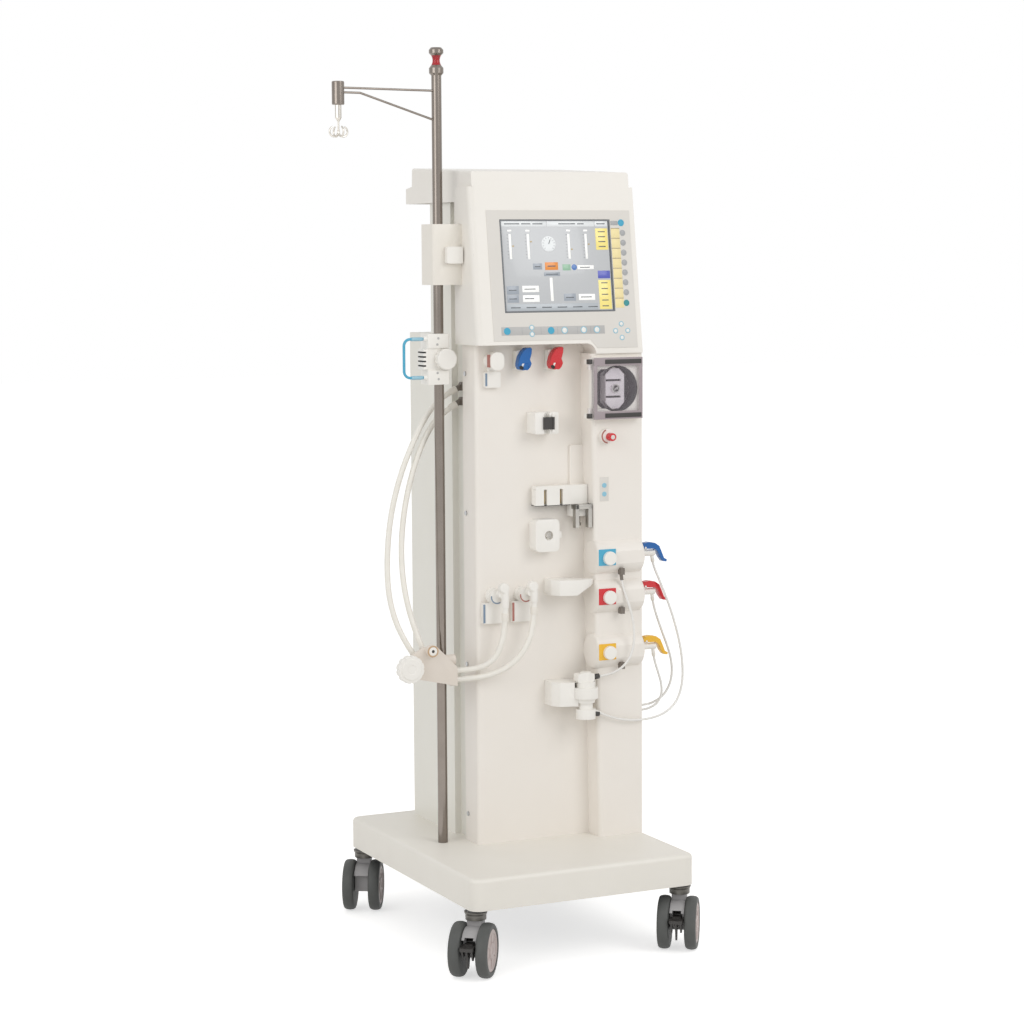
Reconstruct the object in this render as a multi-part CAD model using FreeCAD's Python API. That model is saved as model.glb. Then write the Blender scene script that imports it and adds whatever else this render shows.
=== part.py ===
"""Dialysis machine on castors, with an infusion pole, a blood pump and its fluid hoses.

Units are millimetres.  X points to the machine's right as the user faces the screen,
Y points to the back and Z points up.  The origin is on the floor under the middle of the base.
"""
import FreeCAD
import Part
import math
import os

# Clearances
RUN = 0.05          # radial gap of a shaft that turns or slides in a hole
GAP = 0.3           # gap between faces of pieces that move past each other

# Base and castors
BASE_WIDTH = 440.0
BASE_DEPTH = 568.0
BASE_HEIGHT = 56.0
BASE_TOP = 172.0
BASE_CORNER = 20.0
BASE_EDGE = 7.0
BASE_WALL = 4.0
PAN_THICK = 4.0
PAN_LIP = 3.0
WHEEL_RADIUS = 48.0
WHEEL_WIDTH = 21.0
WHEEL_GAP = 28.0
WHEEL_TREAD_ROUND = 8.0
WHEEL_DISH_RADIUS = 33.0
WHEEL_DISH_DEPTH = 1.6
AXLE_RADIUS = 4.0
CASTOR_INSET_X = 18.0
CASTOR_INSET_Y = 28.0
CASTOR_TRAIL = 20.0
CASTOR_TURN = {"fl": -39.0, "fr": -35.0, "rl": -30.0, "rr": -30.0}     # degrees, as they stand
HOOD_RADIUS = 40.0
HOOD_WIDTH = 26.0
COLLAR_RADIUS = 18.0
COLLAR_HEIGHT = 14.0
STEM_RADIUS = 5.5
STEM_LENGTH = 38.0
SOCKET_RADIUS = 12.0
SOCKET_DROP = 4.0
PEDAL_PIN_RADIUS = 2.5
PEDAL_WIDTH = 25.0
PEDAL_ARM_HALF = 7.6
PEDAL_RIB_X = 8.5

# Cabinet
CAB_LEFT = -99.0
CAB_RIGHT = 216.0
FRONT_Y = -44.0
COLUMN_Y = -88.0
COLUMN_FOOT_X = 128.0
COLUMN_TOP_X = 112.0
COLUMN_ROUND = 8.0
COVER_BACK = 10.0
COVER_WALL = 4.0
COVER_LIP = 16.0
PAD_RISE = 72.0
SCREW_RADIUS = 2.0
SCREW_HEAD = 4.2
PANEL_SCREW_Y = -2.0
PANEL_SCREW_Z = (222.0, 500.0, 777.0, 1030.0)
REAR_SCREW_Z = (200.0, 470.0, 760.0, 1060.0)
GROOVE_BACK = 58.0
GROOVE_DEPTH = 12.0
SHEET = 2.0
REAR_Y = 250.0
REAR_TOP = 1098.0
UPPER_BACK = 150.0
UPPER_TOP = 1338.0
HEAD_LEFT = -113.0
HEAD_LOW = 1064.0
HEAD_STEP = 1083.0
HEAD_TOP = 1364.0
HEAD_SHOULDER_X = 102.0
HEAD_TILT = 7.8
HEAD_REF_Z = 1140.0
HEAD_REF_Y = -82.0
LID_LEFT = -106.0
LID_RIGHT = 209.0
LID_FRONT_TOP = 1391.0
LID_REAR_TOP = 1404.0
LID_REAR_Y = 246.0
LID_STEP_Y = 216.0
LID_WALL = 3.5
HEAD_WALL = 3.5

# Connections and vents at the back, posts and shelves inside
INLET = (40.0, 722.0, 48.0, 30.0)       # middle x, low z, width and height
VENT_ROWS = 9
WATER_X = (-20.0, 20.0)
WATER_Z = 240.0
WATER_RADIUS = 8.0
WATER_LENGTH = 28.0
POST = 25.0
POST_FRONT_Y = 72.0
SHELF_Z = (186.0, 690.0)
POST_INSET = 13.0
POST_LEFT_X = CAB_LEFT + GROOVE_DEPTH + SHEET + POST_INSET
POST_RIGHT_X = CAB_RIGHT - GROOVE_DEPTH - SHEET - POST_INSET - POST
UNIT_BACK = REAR_Y - 40.0
HYDRAULICS_HEIGHT = 300.0
SUPPLY_HEIGHT = 150.0

# Screen and keypad
SCREEN_WIDTH = 221.0
SCREEN_HEIGHT = 167.0
SCREEN_CENTRE_X = 54.0
SCREEN_DEPTH = 14.0
KEYPAD_THICK = 0.8
KEYPAD_LEFT = -82.0
KEYPAD_RIGHT = 206.0
KEYPAD_LOW = 1090.0
KEYPAD_TOP = 1322.0
KEYPAD_LOW_RIGHT = 1074.0

# Pole, lamp, arm and hook
POLE_X = -147.0
POLE_Y = 7.0
POLE_RADIUS = 9.0
POLE_WALL = 1.5
POLE_FOOT = 128.0
POLE_TOP = 1561.0
POLE_SOCKET_RADIUS = 14.0
ARM_REACH = 200.0
ARM_TURN = 7.5
ARM_WIRE = 2.0
ARM_Z = POLE_TOP - 27.0
BRACE_POLE_Z = POLE_TOP - 78.0
BRACE_Z = POLE_TOP - 35.0
BRACE_BEND = 156.0
HUB_RADIUS = 11.0
HUB_LOW = POLE_TOP - 57.0
HUB_TOP = POLE_TOP - 16.0
HUB_BORE = 4.0
HUB_GROOVE = 5.5
HUB_GROOVE_Z = HUB_LOW + 10.0
HUB_GROOVE_WIDTH = 5.0
HOOK_STEM_RADIUS = 5.8
HOOK_STEM_LOW = HUB_LOW - 22.0
HOOK_WIRE = 1.7
HOOK_LOOP = 8.5
HOOK_LOOP_Z = HOOK_STEM_LOW - 24.0
HOOK_PRONGS = 4
LAMP_RADIUS = 13.0
LAMP_BALL = 18.0
LAMP_WAIST = 17.0
LAMP_CAP = 14.0
LAMP_WAIST_RADIUS = 6.5

# Pole bracket
BRACKET_LEFT = -170.0
BRACKET_FRONT = -22.0
BRACKET_BACK = 30.0
BRACKET_LOW = 1190.0
BRACKET_TOP = 1298.0
LATCH_WIDTH = 31.0
LATCH_HEIGHT = 30.0
LATCH_DEPTH = 11.0
LATCH_Z = 1243.0
LATCH_X = -131.0
LATCH_PIN = 3.0
LATCH_PIN_X = LATCH_X - 11

# Line holder on the pole
HOLDER_LOW = 1012.0
HOLDER_TOP = 1103.0
HOLDER_LEFT = -176.0
HOLDER_RIGHT = -134.0
HOLDER_FRONT = -12.0
HOLDER_BACK = 24.0
HOLDER_KNOB_RADIUS = 19.0
HOLDER_KNOB_DEPTH = 14.0
KNOB_SCREW = 2.6
KNOB_SCREW_X = -143.0
BAIL_WIRE = 2.5
BAIL_REACH = 44.0
BAIL_DEPTH = 24.0
BAIL_Y = HOLDER_FRONT + 7.0

# Hose clamp on the pole
CLAMP_LOW = 472.0
CLAMP_TOP = 506.0
CLAMP_KNOB_X = -240.0
CLAMP_KNOB_Z = 510.0
CLAMP_KNOB_RADIUS = 25.0
CLAMP_KNOB_DEPTH = 13.0
CLAMP_SCREW_LENGTH = 8.0
CLAMP_PLATE_FRONT = -60.0
CLAMP_PLATE_THICK = 6.0
CLAMP_GRIP_RADIUS = 10.0
CLAMP_RING_X = POLE_X - 51
CLAMP_RING_Z = CLAMP_TOP + 34
CLAMP_RIGHT = POLE_X + 2
HOSE_LANE_Y = -44.0
HOSE_LANE_Z = (481.0, 497.0)

# Blood pump
PUMP_X = (107.0, 209.0)
PUMP_Z = (945.0, 1057.0)
PUMP_FLANGE = 10.0
PUMP_DEPTH = 38.0
PUMP_POT_LEFT = PUMP_X[0] + 9
PUMP_AXIS_X = 160.0
PUMP_AXIS_Z = 1000.0
RACEWAY_RADIUS = 42.0
RACEWAY_DEPTH = 34.0
ROTOR_WIDTH = 38.0
ROTOR_LENGTH = 73.0
ROTOR_CHEEK = 4.0
ROTOR_DEPTH = 22.0
ROLLER_RADIUS = 6.5
ROLLER_OFFSET = 32.0
ROLLER_PIN = 2.5
SPINDLE_RADIUS = 4.0
MOTOR_RADIUS = 28.0
MOTOR_LENGTH = 62.0
DOOR_THICK = 6.0
DOOR_INSET = 2.2                # how far the plate stands clear of the lugs
DOOR_PIN = 2.5
DOOR_BARREL = 4.5

# Small modules on the front
LINE_CLAMP_X = (-13.0, 50.0)
LINE_CLAMP_Z = 1046.0
LINE_CLAMP_DEPTH = 16.0
LEVER_PIN = 3.0
LEVER_PIN_LEFT = 5.0            # how far left of the base's middle the pin stands
LEVER_THICK = 16.0
LEVER_OUTLINE = [(-9, 4), (-6, 15), (0, 25), (7, 30.5), (15, 31.5), (18, 29), (17, 20), (14, 10),
                 (17, 2), (14, -5), (8, -8.5), (0, -9.5), (-6, -7.5), (-9, -2)]
DETECTOR = (3.0, 50.0, 921.0, 960.0)
DETECTOR_FRONT = -80.0
DETECTOR_SLOT = (18.0, 29.0)    # from the detector's left side
DETECTOR_SLOT_DEPTH = 12.0
DETECTOR_PIN = 1.2
DETECTOR_BARREL = 2.4
DETECTOR_LUG = 8.0
SENSOR_BAR = (10.0, 115.5, 790.0, 825.0)
SENSOR_FRONT = -66.0
SENSOR_SLOTS = (20.0, 52.0)
SENSOR_SLOT_HALF = 3.0
SENSOR_SLOT_DEPTH = 9.0
JAW_X = (82.0, 115.0)
JAW_FRONT = -84.0
JAW_CHEEK = 7.0
JAW_ROOF = 8.0
JAW_MOUTH_BACK = JAW_FRONT + 12.0
PLUNGER_RADIUS = 4.0
PLUNGER_X = sum(JAW_X) / 2
PLUNGER_Y = JAW_FRONT + 24.0
CLIP_MODULE = (7.0, 55.0, 706.0, 765.0)
CLIP_FRONT = -72.0
PORT_RING_RADIUS = 14.5
PORT_DEPTH = 10.0
PORT_PLATE = 41.0
COUPLING_X = (-68.0, -10.0)
COUPLING_Z = 629.0
SPIGOT_Y = -78.0
PRESSURE_X = 141.0
PRESSURE_Z = 914.0
PRESSURE_SPIGOT = (144.0, 913.0, 3.5)   # middle x and z, radius
PRESSURE_SPIGOT_LENGTH = 20.0
SPARE_X = -68.0
SPARE_Z = 1054.0
CARTRIDGE_X = 96.0
CARTRIDGE_Y = -94.0
CARTRIDGE_ARMS = (626.0, 422.0)
CARTRIDGE_ARM_HEIGHTS = (28.0, 44.0)
CARTRIDGE_BODY = 17.0
CARTRIDGE_FLANGE = 23.0
CARTRIDGE_FLANGE_Z = 436.0

# Concentrate stations, top to bottom
STATION_Z = (692.0, 620.0, 518.0)
STATION_LEFT = 117.0
BARREL_RADIUS = 33.0
BARREL_Y = -74.0
BARREL_FLAT = -105.0
STATION_CAP_X = 139.0
STATION_CAP_RADIUS = 12.5
NOZZLE_Y = (-66.0, -66.0, -70.0)
NOZZLE_RADIUS = 13.0
NOZZLE_LENGTH = 8.0
CONNECTOR_RADIUS = 6.0
LEVER_PIVOT_X = 16.0
LEVER_PIVOT_RISE = 4.5
CONNECTOR_END = 3.4             # how far the connector's core runs past its tube
EAR_LEFT = 3.0
EAR_RIGHT = 5.0
EAR_ABOVE_PIN = 2.6
TUBE_X = 250.0
BARREL_PORT_X = 166.0
LEVER_HALF = 7.0
STATION_PIN = 1.8
STATION_EAR_HALF = 2.5
STATION_TUBE_STUB = 3.2
BARREL_ROUND = 5.0
STATION_LEVER = [(-4.5, -1), (-6, 4), (-2, 8.5), (8, 10), (20, 8), (29, 2), (34, -9), (39, -21),
                 (45, -24), (44, -28), (37, -27), (31, -19), (26, -8), (20, -2.6), (8, -2.6)]

# Hoses: diameters and the points of their routes
HOSE_DIAMETER = 10.6
TUBE_DIAMETER = 4.4
OUTER_HOSE = [
    (-100, 38, 1000), (-128, 38, 988), (-156, 38, 960), (-188, 35, 906), (-218, 29, 842),
    (-240, 20, 772), (-252, 8, 702), (-256, -6, 640), (-250, -22, 592), (-238, -36, 558),
    (-223, -43, 531), (-208, -44, 507), (-189, -44, 489), (-166, -44, 481), (-122, -44, 481),
    (-102, -53, 483), (-84, -68, 488), (-58, -80, 500), (-32, -84, 520), (-12, -82, 548),
    (-2, -79, COUPLING_Z - 49), (0, -78, COUPLING_Z - 21)]
INNER_HOSE = [
    (-100, 38, 973), (-128, 38, 958), (-156, 37, 928), (-184, 33, 872), (-206, 26, 806),
    (-220, 16, 740), (-225, 4, 678), (-223, -12, 624), (-215, -29, 576), (-205, -41, 540),
    (-194, -44, 518), (-179, -44, 504), (-160, -44, 497), (-122, -44, 497), (-105, -52, 499),
    (-90, -65, 506), (-76, -75, 521), (-66, -79, 545), (-60, -79, COUPLING_Z - 56),
    (-58, -78, COUPLING_Z - 29)]
BLUE_TUBE = [
    (250, -66, 680), (250.5, -69, 668), (255, -77, 650), (265, -82, 622), (280, -82, 586),
    (294, -79, 548), (306, -75, 508), (312, -72, 468), (309, -73, 436), (294, -78, 408),
    (266, -86, 392), (232, -93, 386), (196, -97, 386), (160, -98, 392), (138, -97, 400),
    (124, -96, 406)]
RED_TUBE = [
    (250, -66, 608), (252, -66, 594), (261, -64, 570), (275, -58.5, 540), (290, -55, 508),
    (300, -52, 476), (299, -50, 444), (286, -46, 418), (262, -42, 404), (240, -40, 402),
    (224, -40, 402)]
YELLOW_TUBE = [
    (250, -70, 504), (252, -70, 490), (260, -69, 469), (269, -66, 446), (272, -63, 424),
    (264, -59, 406), (248, -56, 398), (236, -54, 396), (224, -54, 396)]
CARTRIDGE_TUBE = [
    (166, -104, 650), (167, -106, 636), (174, -112, 612), (181, -117, 582), (184, -119, 550),
    (180, -119, 518), (166, -116, 494), (148, -108, 481), (134, -100, 476), (124, -96, 474)]

os.makedirs("parts", exist_ok=True)
V = FreeCAD.Vector
X_AXIS = V(1, 0, 0)
Y_AXIS = V(0, 1, 0)
Z_AXIS = V(0, 0, 1)
POLE = V(POLE_X, POLE_Y, 0)
BASE_LOW = BASE_TOP - BASE_HEIGHT
HOLE = POLE_RADIUS + RUN


def box(x0, x1, y0, y1, z0, z1):
    return Part.makeBox(x1 - x0, y1 - y0, z1 - z0, V(x0, y0, z0))


def rod(x, y, z, axis, radius, length):
    """A cylinder that starts at a point and runs along an axis."""
    return Part.makeCylinder(radius, length, V(x, y, z), axis)


def pick_fillet(shape, radius, wanted):
    """Round the edges whose middle point passes a test."""
    edges = [edge for edge in shape.Edges if wanted(edge.CenterOfMass, edge)]
    return shape.makeFillet(radius, edges)


def along(edge, axis):
    """True where an edge is straight and parallel to an axis."""
    if len(edge.Vertexes) < 2:
        return False
    span = edge.Vertexes[-1].Point - edge.Vertexes[0].Point
    return abs(abs(span.dot(axis)) - edge.Length) < 1e-6


def soft_box(x0, x1, y0, y1, z0, z1, radius, axis):
    """A box with the four edges along one axis rounded."""
    return pick_fillet(box(x0, x1, y0, y1, z0, z1), radius, lambda mid, edge: along(edge, axis))


def prism(points, push):
    """A flat outline, given as points in space, pushed along a vector."""
    corners = [V(*point) for point in points]
    return Part.Face(Part.makePolygon(corners + corners[:1])).extrude(push)


def outline_xz(points, y0, y1):
    return prism([(x, y0, z) for x, z in points], V(0, y1 - y0, 0))


def outline_yz(points, x0, x1):
    return prism([(x0, y, z) for y, z in points], V(x1 - x0, 0, 0))


def outline_xy(points, z0, z1):
    return prism([(x, y, z0) for x, y in points], V(0, 0, z1 - z0))


def turned(shape, centre, axis, angle):
    copy = shape.copy()
    copy.rotate(centre, axis, angle)
    return copy


def moved(shape, x, y, z):
    copy = shape.copy()
    copy.translate(V(x, y, z))
    return copy


def spun(profile, centre):
    """Turn an outline of (radius, height) points about a vertical line."""
    corners = [V(centre.x + r, centre.y, centre.z + z) for r, z in profile]
    face = Part.Face(Part.makePolygon(corners + corners[:1]))
    return face.revolve(centre, Z_AXIS, 360)


def save(name, *shapes):
    """Write one sub-part, made of one or more solids."""
    solids = []
    for shape in shapes:
        solids.extend(shape.removeSplitter().Solids)
    whole = solids[0] if len(solids) == 1 else Part.makeCompound(solids)
    for solid in solids:
        assert solid.isValid() and solid.Volume > 0, name
    whole.exportStep("parts/" + name + ".step")
    return whole


def stub(points, radius, length):
    """A round stub that carries on in line from the first end of a tube's route."""
    end = V(*points[0])
    away = end - V(*points[1])
    return Part.makeCylinder(radius, length, end, away)


def bent_tube(name, points, diameter):
    """A round tube along straight runs joined by the largest arcs that fit them."""
    corners = [V(*point) for point in points]
    edges = []
    start = corners[0]
    smallest = None
    for before, corner, after in zip(corners, corners[1:], corners[2:]):
        back = (before - corner)
        ahead = (after - corner)
        reach = 0.45 * min(back.Length, ahead.Length)
        back.normalize()
        ahead.normalize()
        turn = math.pi - back.getAngle(ahead)
        radius = reach / math.tan(turn / 2)
        smallest = radius if smallest is None else min(smallest, radius)
        first = corner + back * reach
        last = corner + ahead * reach
        to_centre = (back + ahead)
        to_centre.normalize()
        middle = corner + to_centre * (radius / math.cos(turn / 2) - radius)
        edges.append(Part.LineSegment(start, first).toShape())
        edges.append(Part.Arc(first, middle, last).toShape())
        start = last
    edges.append(Part.LineSegment(start, corners[-1]).toShape())
    path = Part.Wire(edges)
    ring = Part.Wire(Part.makeCircle(diameter / 2, corners[0], corners[1] - corners[0]))
    tube = path.makePipeShell([ring], True, False)
    expected = math.pi * diameter ** 2 / 4 * path.Length
    print(name, "length %.0f mm, smallest bend %.1f diameters, volume ratio %.4f"
          % (path.Length, smallest / diameter, tube.Volume / expected))
    return tube


# Base

def base_cover():
    half_w = BASE_WIDTH / 2
    half_d = BASE_DEPTH / 2
    outer = soft_box(-half_w, half_w, -half_d, half_d, BASE_LOW, BASE_TOP, BASE_CORNER, Z_AXIS)
    outer = pick_fillet(outer, BASE_EDGE, lambda mid, edge: abs(mid.z - BASE_TOP) < 0.01)
    inner = soft_box(BASE_WALL - half_w, half_w - BASE_WALL, BASE_WALL - half_d,
                     half_d - BASE_WALL, BASE_LOW - 1, BASE_TOP - BASE_WALL,
                     BASE_CORNER - BASE_WALL, Z_AXIS)
    cabinet_mouth = box(CAB_LEFT + COVER_LIP + 6, CAB_RIGHT - COVER_LIP - 6, COVER_BACK + 6,
                        REAR_Y - 3, BASE_TOP - BASE_WALL - 1, BASE_TOP + 1)
    pole_hole = rod(POLE_X, POLE_Y, BASE_LOW, Z_AXIS, POLE_RADIUS + GAP, BASE_HEIGHT + 1)
    return outer.cut(inner).cut(cabinet_mouth).cut(pole_hole)


def castor_places():
    x = BASE_WIDTH / 2 - CASTOR_INSET_X
    y = BASE_DEPTH / 2 - CASTOR_INSET_Y
    return {"fl": (-x, -y), "fr": (x, -y), "rl": (-x, y), "rr": (x, y)}


def chassis():
    side = BASE_WALL + GAP
    half_w = BASE_WIDTH / 2 - side
    half_d = BASE_DEPTH / 2 - side
    round_off = BASE_CORNER - side
    pan = soft_box(-half_w, half_w, -half_d, half_d, BASE_LOW + 2, BASE_TOP - BASE_WALL,
                   round_off, Z_AXIS)
    hollow = soft_box(PAN_LIP - half_w, half_w - PAN_LIP, PAN_LIP - half_d, half_d - PAN_LIP,
                      BASE_LOW + 2 + PAN_THICK, BASE_TOP, round_off - PAN_LIP, Z_AXIS)
    frame = pan.cut(hollow)
    socket_low = BASE_LOW - SOCKET_DROP
    for x, y in castor_places().values():
        socket = rod(x, y, socket_low, Z_AXIS, SOCKET_RADIUS, STEM_LENGTH + 6)
        bore = rod(x, y, socket_low - 1, Z_AXIS, STEM_RADIUS + RUN, STEM_LENGTH + 3)
        frame = frame.fuse(socket).cut(bore)
    socket = rod(POLE_X, POLE_Y, BASE_LOW + 4, Z_AXIS, POLE_SOCKET_RADIUS, 48)
    bore = rod(POLE_X, POLE_Y, POLE_FOOT, Z_AXIS, POLE_RADIUS + RUN, 60)
    frame = frame.fuse(socket).cut(bore)
    floor = BASE_LOW + 3
    rear_y = REAR_Y - SHEET - POST - 2
    upper_y = UPPER_BACK - SHEET - POST - 2
    for x in (POST_LEFT_X, POST_RIGHT_X):
        frame = frame.fuse(box(x, x + POST, POST_FRONT_Y, POST_FRONT_Y + POST, floor, UPPER_TOP - 6))
        frame = frame.fuse(box(x, x + POST, rear_y, rear_y + POST, floor, REAR_TOP - 6))
        for z in SHELF_Z + (REAR_TOP - 6 - POST,):
            frame = frame.fuse(box(x, x + POST, POST_FRONT_Y, rear_y + POST, z, z + POST))
    for z in SHELF_Z:
        frame = frame.fuse(box(POST_LEFT_X, POST_RIGHT_X + POST, POST_FRONT_Y, rear_y + POST,
                               z + POST - 3, z + POST))
    top = UPPER_TOP - 6
    frame = frame.fuse(box(POST_LEFT_X, POST_RIGHT_X + POST, POST_FRONT_Y,
                           upper_y + POST, top - 3, top))
    return frame


# Castors, built pointing at the user and then turned

def castor_hood():
    trail = -CASTOR_TRAIL
    collar_low = BASE_LOW - SOCKET_DROP - GAP - COLLAR_HEIGHT
    half = HOOD_WIDTH / 2
    hood = rod(-half, trail, WHEEL_RADIUS, X_AXIS, HOOD_RADIUS, HOOD_WIDTH)
    hood = hood.fuse(box(-half, half, -13, 13, WHEEL_RADIUS, collar_low))
    hood = hood.cut(box(-half - 1, half + 1, trail - 60, trail + 60, 0, WHEEL_RADIUS - 9))
    hood = hood.cut(box(-half - 1, half + 1, trail - 60, trail - 18, 0, WHEEL_RADIUS + 24))
    hood = hood.cut(rod(-half - 1, trail, WHEEL_RADIUS, X_AXIS, AXLE_RADIUS + RUN, HOOD_WIDTH + 2))
    collar = rod(0, 0, collar_low, Z_AXIS, COLLAR_RADIUS, COLLAR_HEIGHT)
    collar = pick_fillet(collar, 2, lambda mid, edge: abs(mid.z - collar_low - COLLAR_HEIGHT) < 0.1)
    stem = rod(0, 0, collar_low + COLLAR_HEIGHT - 1, Z_AXIS, STEM_RADIUS, STEM_LENGTH)
    return hood.fuse(collar).fuse(stem)


def pedal_place():
    return -CASTOR_TRAIL - 10, WHEEL_RADIUS + 16


def braked_hood():
    y, z = pedal_place()
    slot_half = PEDAL_ARM_HALF + 0.4
    slot = box(-slot_half, slot_half, y - 40, y + 8, z - 9, z + 12)
    pin_hole = rod(-HOOD_WIDTH, y, z, X_AXIS, PEDAL_PIN_RADIUS + RUN, 2 * HOOD_WIDTH)
    return castor_hood().cut(slot).cut(pin_hole)


def brake_pedal():
    y, z = pedal_place()
    half = HOOD_WIDTH / 2
    pin = rod(-half, y, z, X_AXIS, PEDAL_PIN_RADIUS, HOOD_WIDTH)
    arm_half = PEDAL_ARM_HALF
    hub = rod(-arm_half, y, z, X_AXIS, 5.5, 2 * arm_half)
    arm = box(-arm_half, arm_half, y - 24, y, z - 5, z + 1.5)
    plate = soft_box(-PEDAL_WIDTH / 2, PEDAL_WIDTH / 2, y - 42, y - 12, z - 7, z - 1, 5, Z_AXIS)
    pedal = pin.fuse([hub, arm, plate])
    for x, drop in ((-PEDAL_RIB_X, 22), (0, 36), (PEDAL_RIB_X, 22)):
        pedal = pedal.fuse(outline_yz([(y - 38, z - 6), (y - 14, z - 6), (y - 22, z - drop),
                                       (y - 26, z - drop - 4)], x - 1.7, x + 1.7))
    return pedal


def castor_wheels():
    trail = -CASTOR_TRAIL
    solids = []
    for side in (-1, 1):
        inner = side * WHEEL_GAP / 2
        start = inner if side > 0 else inner - WHEEL_WIDTH
        wheel = rod(start, trail, WHEEL_RADIUS, X_AXIS, WHEEL_RADIUS, WHEEL_WIDTH)
        wheel = pick_fillet(wheel, WHEEL_TREAD_ROUND, lambda mid, edge: len(edge.Vertexes) == 1)
        face_x = inner + side * (WHEEL_WIDTH - WHEEL_DISH_DEPTH)
        dish = rod(min(face_x, face_x + 5 * side), trail, WHEEL_RADIUS, X_AXIS,
                   WHEEL_DISH_RADIUS, 5)
        wheel = wheel.cut(dish)
        solids.append(wheel)
    axle_half = WHEEL_GAP / 2 + 12
    axle = rod(-axle_half, trail, WHEEL_RADIUS, X_AXIS, AXLE_RADIUS, 2 * axle_half)
    return [wheel.cut(axle) for wheel in solids] + [axle]


def save_castors():
    for place, (x, y) in castor_places().items():
        braked = place in ("fl", "fr")
        pieces = {"castor_hood": [braked_hood() if braked else castor_hood()],
                  "castor_wheels": castor_wheels()}
        if braked:
            pieces["brake_pedal"] = [brake_pedal()]
        for name, shapes in pieces.items():
            set_down = [moved(turned(s, V(0, 0, 0), Z_AXIS, CASTOR_TURN[place]), x, y, 0)
                        for s in shapes]
            save(name + "_" + place, *set_down)


# Cabinet shells

def front_outline(inset, low):
    """Outline of the front cover seen from the front, with the step under the head."""
    left = CAB_LEFT + inset
    right = CAB_RIGHT - inset
    step = HEAD_STEP - HEAD_LOW
    points = [(left, low), (right, low), (right, HEAD_LOW - inset)]
    for count in range(7):
        angle = math.radians(15 * count)
        points.append((HEAD_SHOULDER_X - inset + (step + inset / 2) * math.cos(angle),
                       HEAD_LOW - inset + step * math.sin(angle)))
    points.append((left, HEAD_STEP - inset))
    return points


def column_outline(inset, low):
    return [(COLUMN_FOOT_X + inset, low), (CAB_RIGHT - inset, low),
            (CAB_RIGHT - inset, HEAD_LOW - inset), (COLUMN_TOP_X + inset, HEAD_LOW - inset)]


def station_barrel(z):
    barrel = rod(STATION_LEFT, BARREL_Y, z, X_AXIS, BARREL_RADIUS, CAB_RIGHT - 2 - STATION_LEFT)
    barrel = pick_fillet(barrel, BARREL_ROUND, lambda mid, edge: len(edge.Vertexes) == 1)
    front = box(STATION_LEFT, CAB_RIGHT, BARREL_FLAT - 20, BARREL_FLAT, z - 40, z + 40)
    return barrel.cut(front)


def front_cover():
    low = BASE_TOP
    shell = outline_xz(front_outline(0, low), FRONT_Y, COVER_BACK)
    shell = pick_fillet(shell, COLUMN_ROUND, lambda mid, edge: along(edge, Z_AXIS)
                        and mid.x < CAB_LEFT + 1 and mid.y < FRONT_Y + 1)
    column = outline_xz(column_outline(0, low), COLUMN_Y, FRONT_Y + 1)
    column = pick_fillet(column, COLUMN_ROUND, lambda mid, edge: mid.y < COLUMN_Y + 1
                         and mid.x < COLUMN_FOOT_X + 1 and edge.Length > 500)
    shell = shell.fuse(column)
    for z in STATION_Z:
        shell = shell.fuse(station_barrel(z))
    pad = soft_box(JAW_X[0] + 6, COLUMN_TOP_X + 12, FRONT_Y - 5, FRONT_Y + 2, SENSOR_BAR[2],
                   SENSOR_BAR[3] + PAD_RISE, 4, Y_AXIS)
    shell = shell.fuse(pad)
    wall = COVER_WALL
    shell = shell.cut(outline_xz(front_outline(wall, low - 1), FRONT_Y + wall, COVER_BACK - wall))
    shell = shell.cut(outline_xz(column_outline(wall, low - 1), COLUMN_Y + wall, FRONT_Y + wall + 1))
    window = box(CAB_LEFT + COVER_LIP, CAB_RIGHT - COVER_LIP, COVER_BACK - wall - 1, COVER_BACK + 1,
                 low - 1, HEAD_LOW - COVER_LIP)
    shell = shell.cut(window)
    pump_hole = box(PUMP_POT_LEFT - GAP, PUMP_X[1] - 4 + GAP, COLUMN_Y - 1, COLUMN_Y + wall + 60,
                    PUMP_Z[0] + 4 - GAP, PUMP_Z[1] - 4 + GAP)
    shell = shell.cut(pump_hole)
    for x in (CAB_LEFT, CAB_RIGHT):
        for z in PANEL_SCREW_Z:
            shell = shell.cut(rod(x - 8, PANEL_SCREW_Y, z, X_AXIS, SCREW_RADIUS + RUN, 16))
    right_side = outline_xz(column_outline(0, low - 1), COLUMN_Y - 1, COVER_BACK + 1)
    for z in STATION_Z:
        right_side = right_side.fuse(rod(STATION_LEFT - 1, BARREL_Y, z, X_AXIS,
                                         BARREL_RADIUS + 1, CAB_RIGHT - STATION_LEFT))
    return [shell.cut(right_side), shell.common(right_side)]


def side_panels():
    """Left side as a lower and an upper sheet with an upright groove; the right mirrors it."""
    out = CAB_LEFT
    deep = CAB_LEFT + GROOVE_DEPTH
    panels = []
    for low, high, back in ((BASE_TOP, REAR_TOP - SHEET, REAR_Y - SHEET),
                            (REAR_TOP - SHEET, UPPER_TOP, UPPER_BACK - SHEET)):
        plan = [(deep, COVER_BACK), (deep + SHEET, COVER_BACK), (deep + SHEET, GROOVE_BACK + SHEET),
                (out + SHEET, GROOVE_BACK + SHEET), (out + SHEET, back), (out, back),
                (out, GROOVE_BACK), (deep, GROOVE_BACK)]
        panels.append(outline_xy(plan, low, high))
    middle = V((CAB_LEFT + CAB_RIGHT) / 2, 0, 0)
    return panels + [panel.mirror(middle, X_AXIS) for panel in panels]


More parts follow.
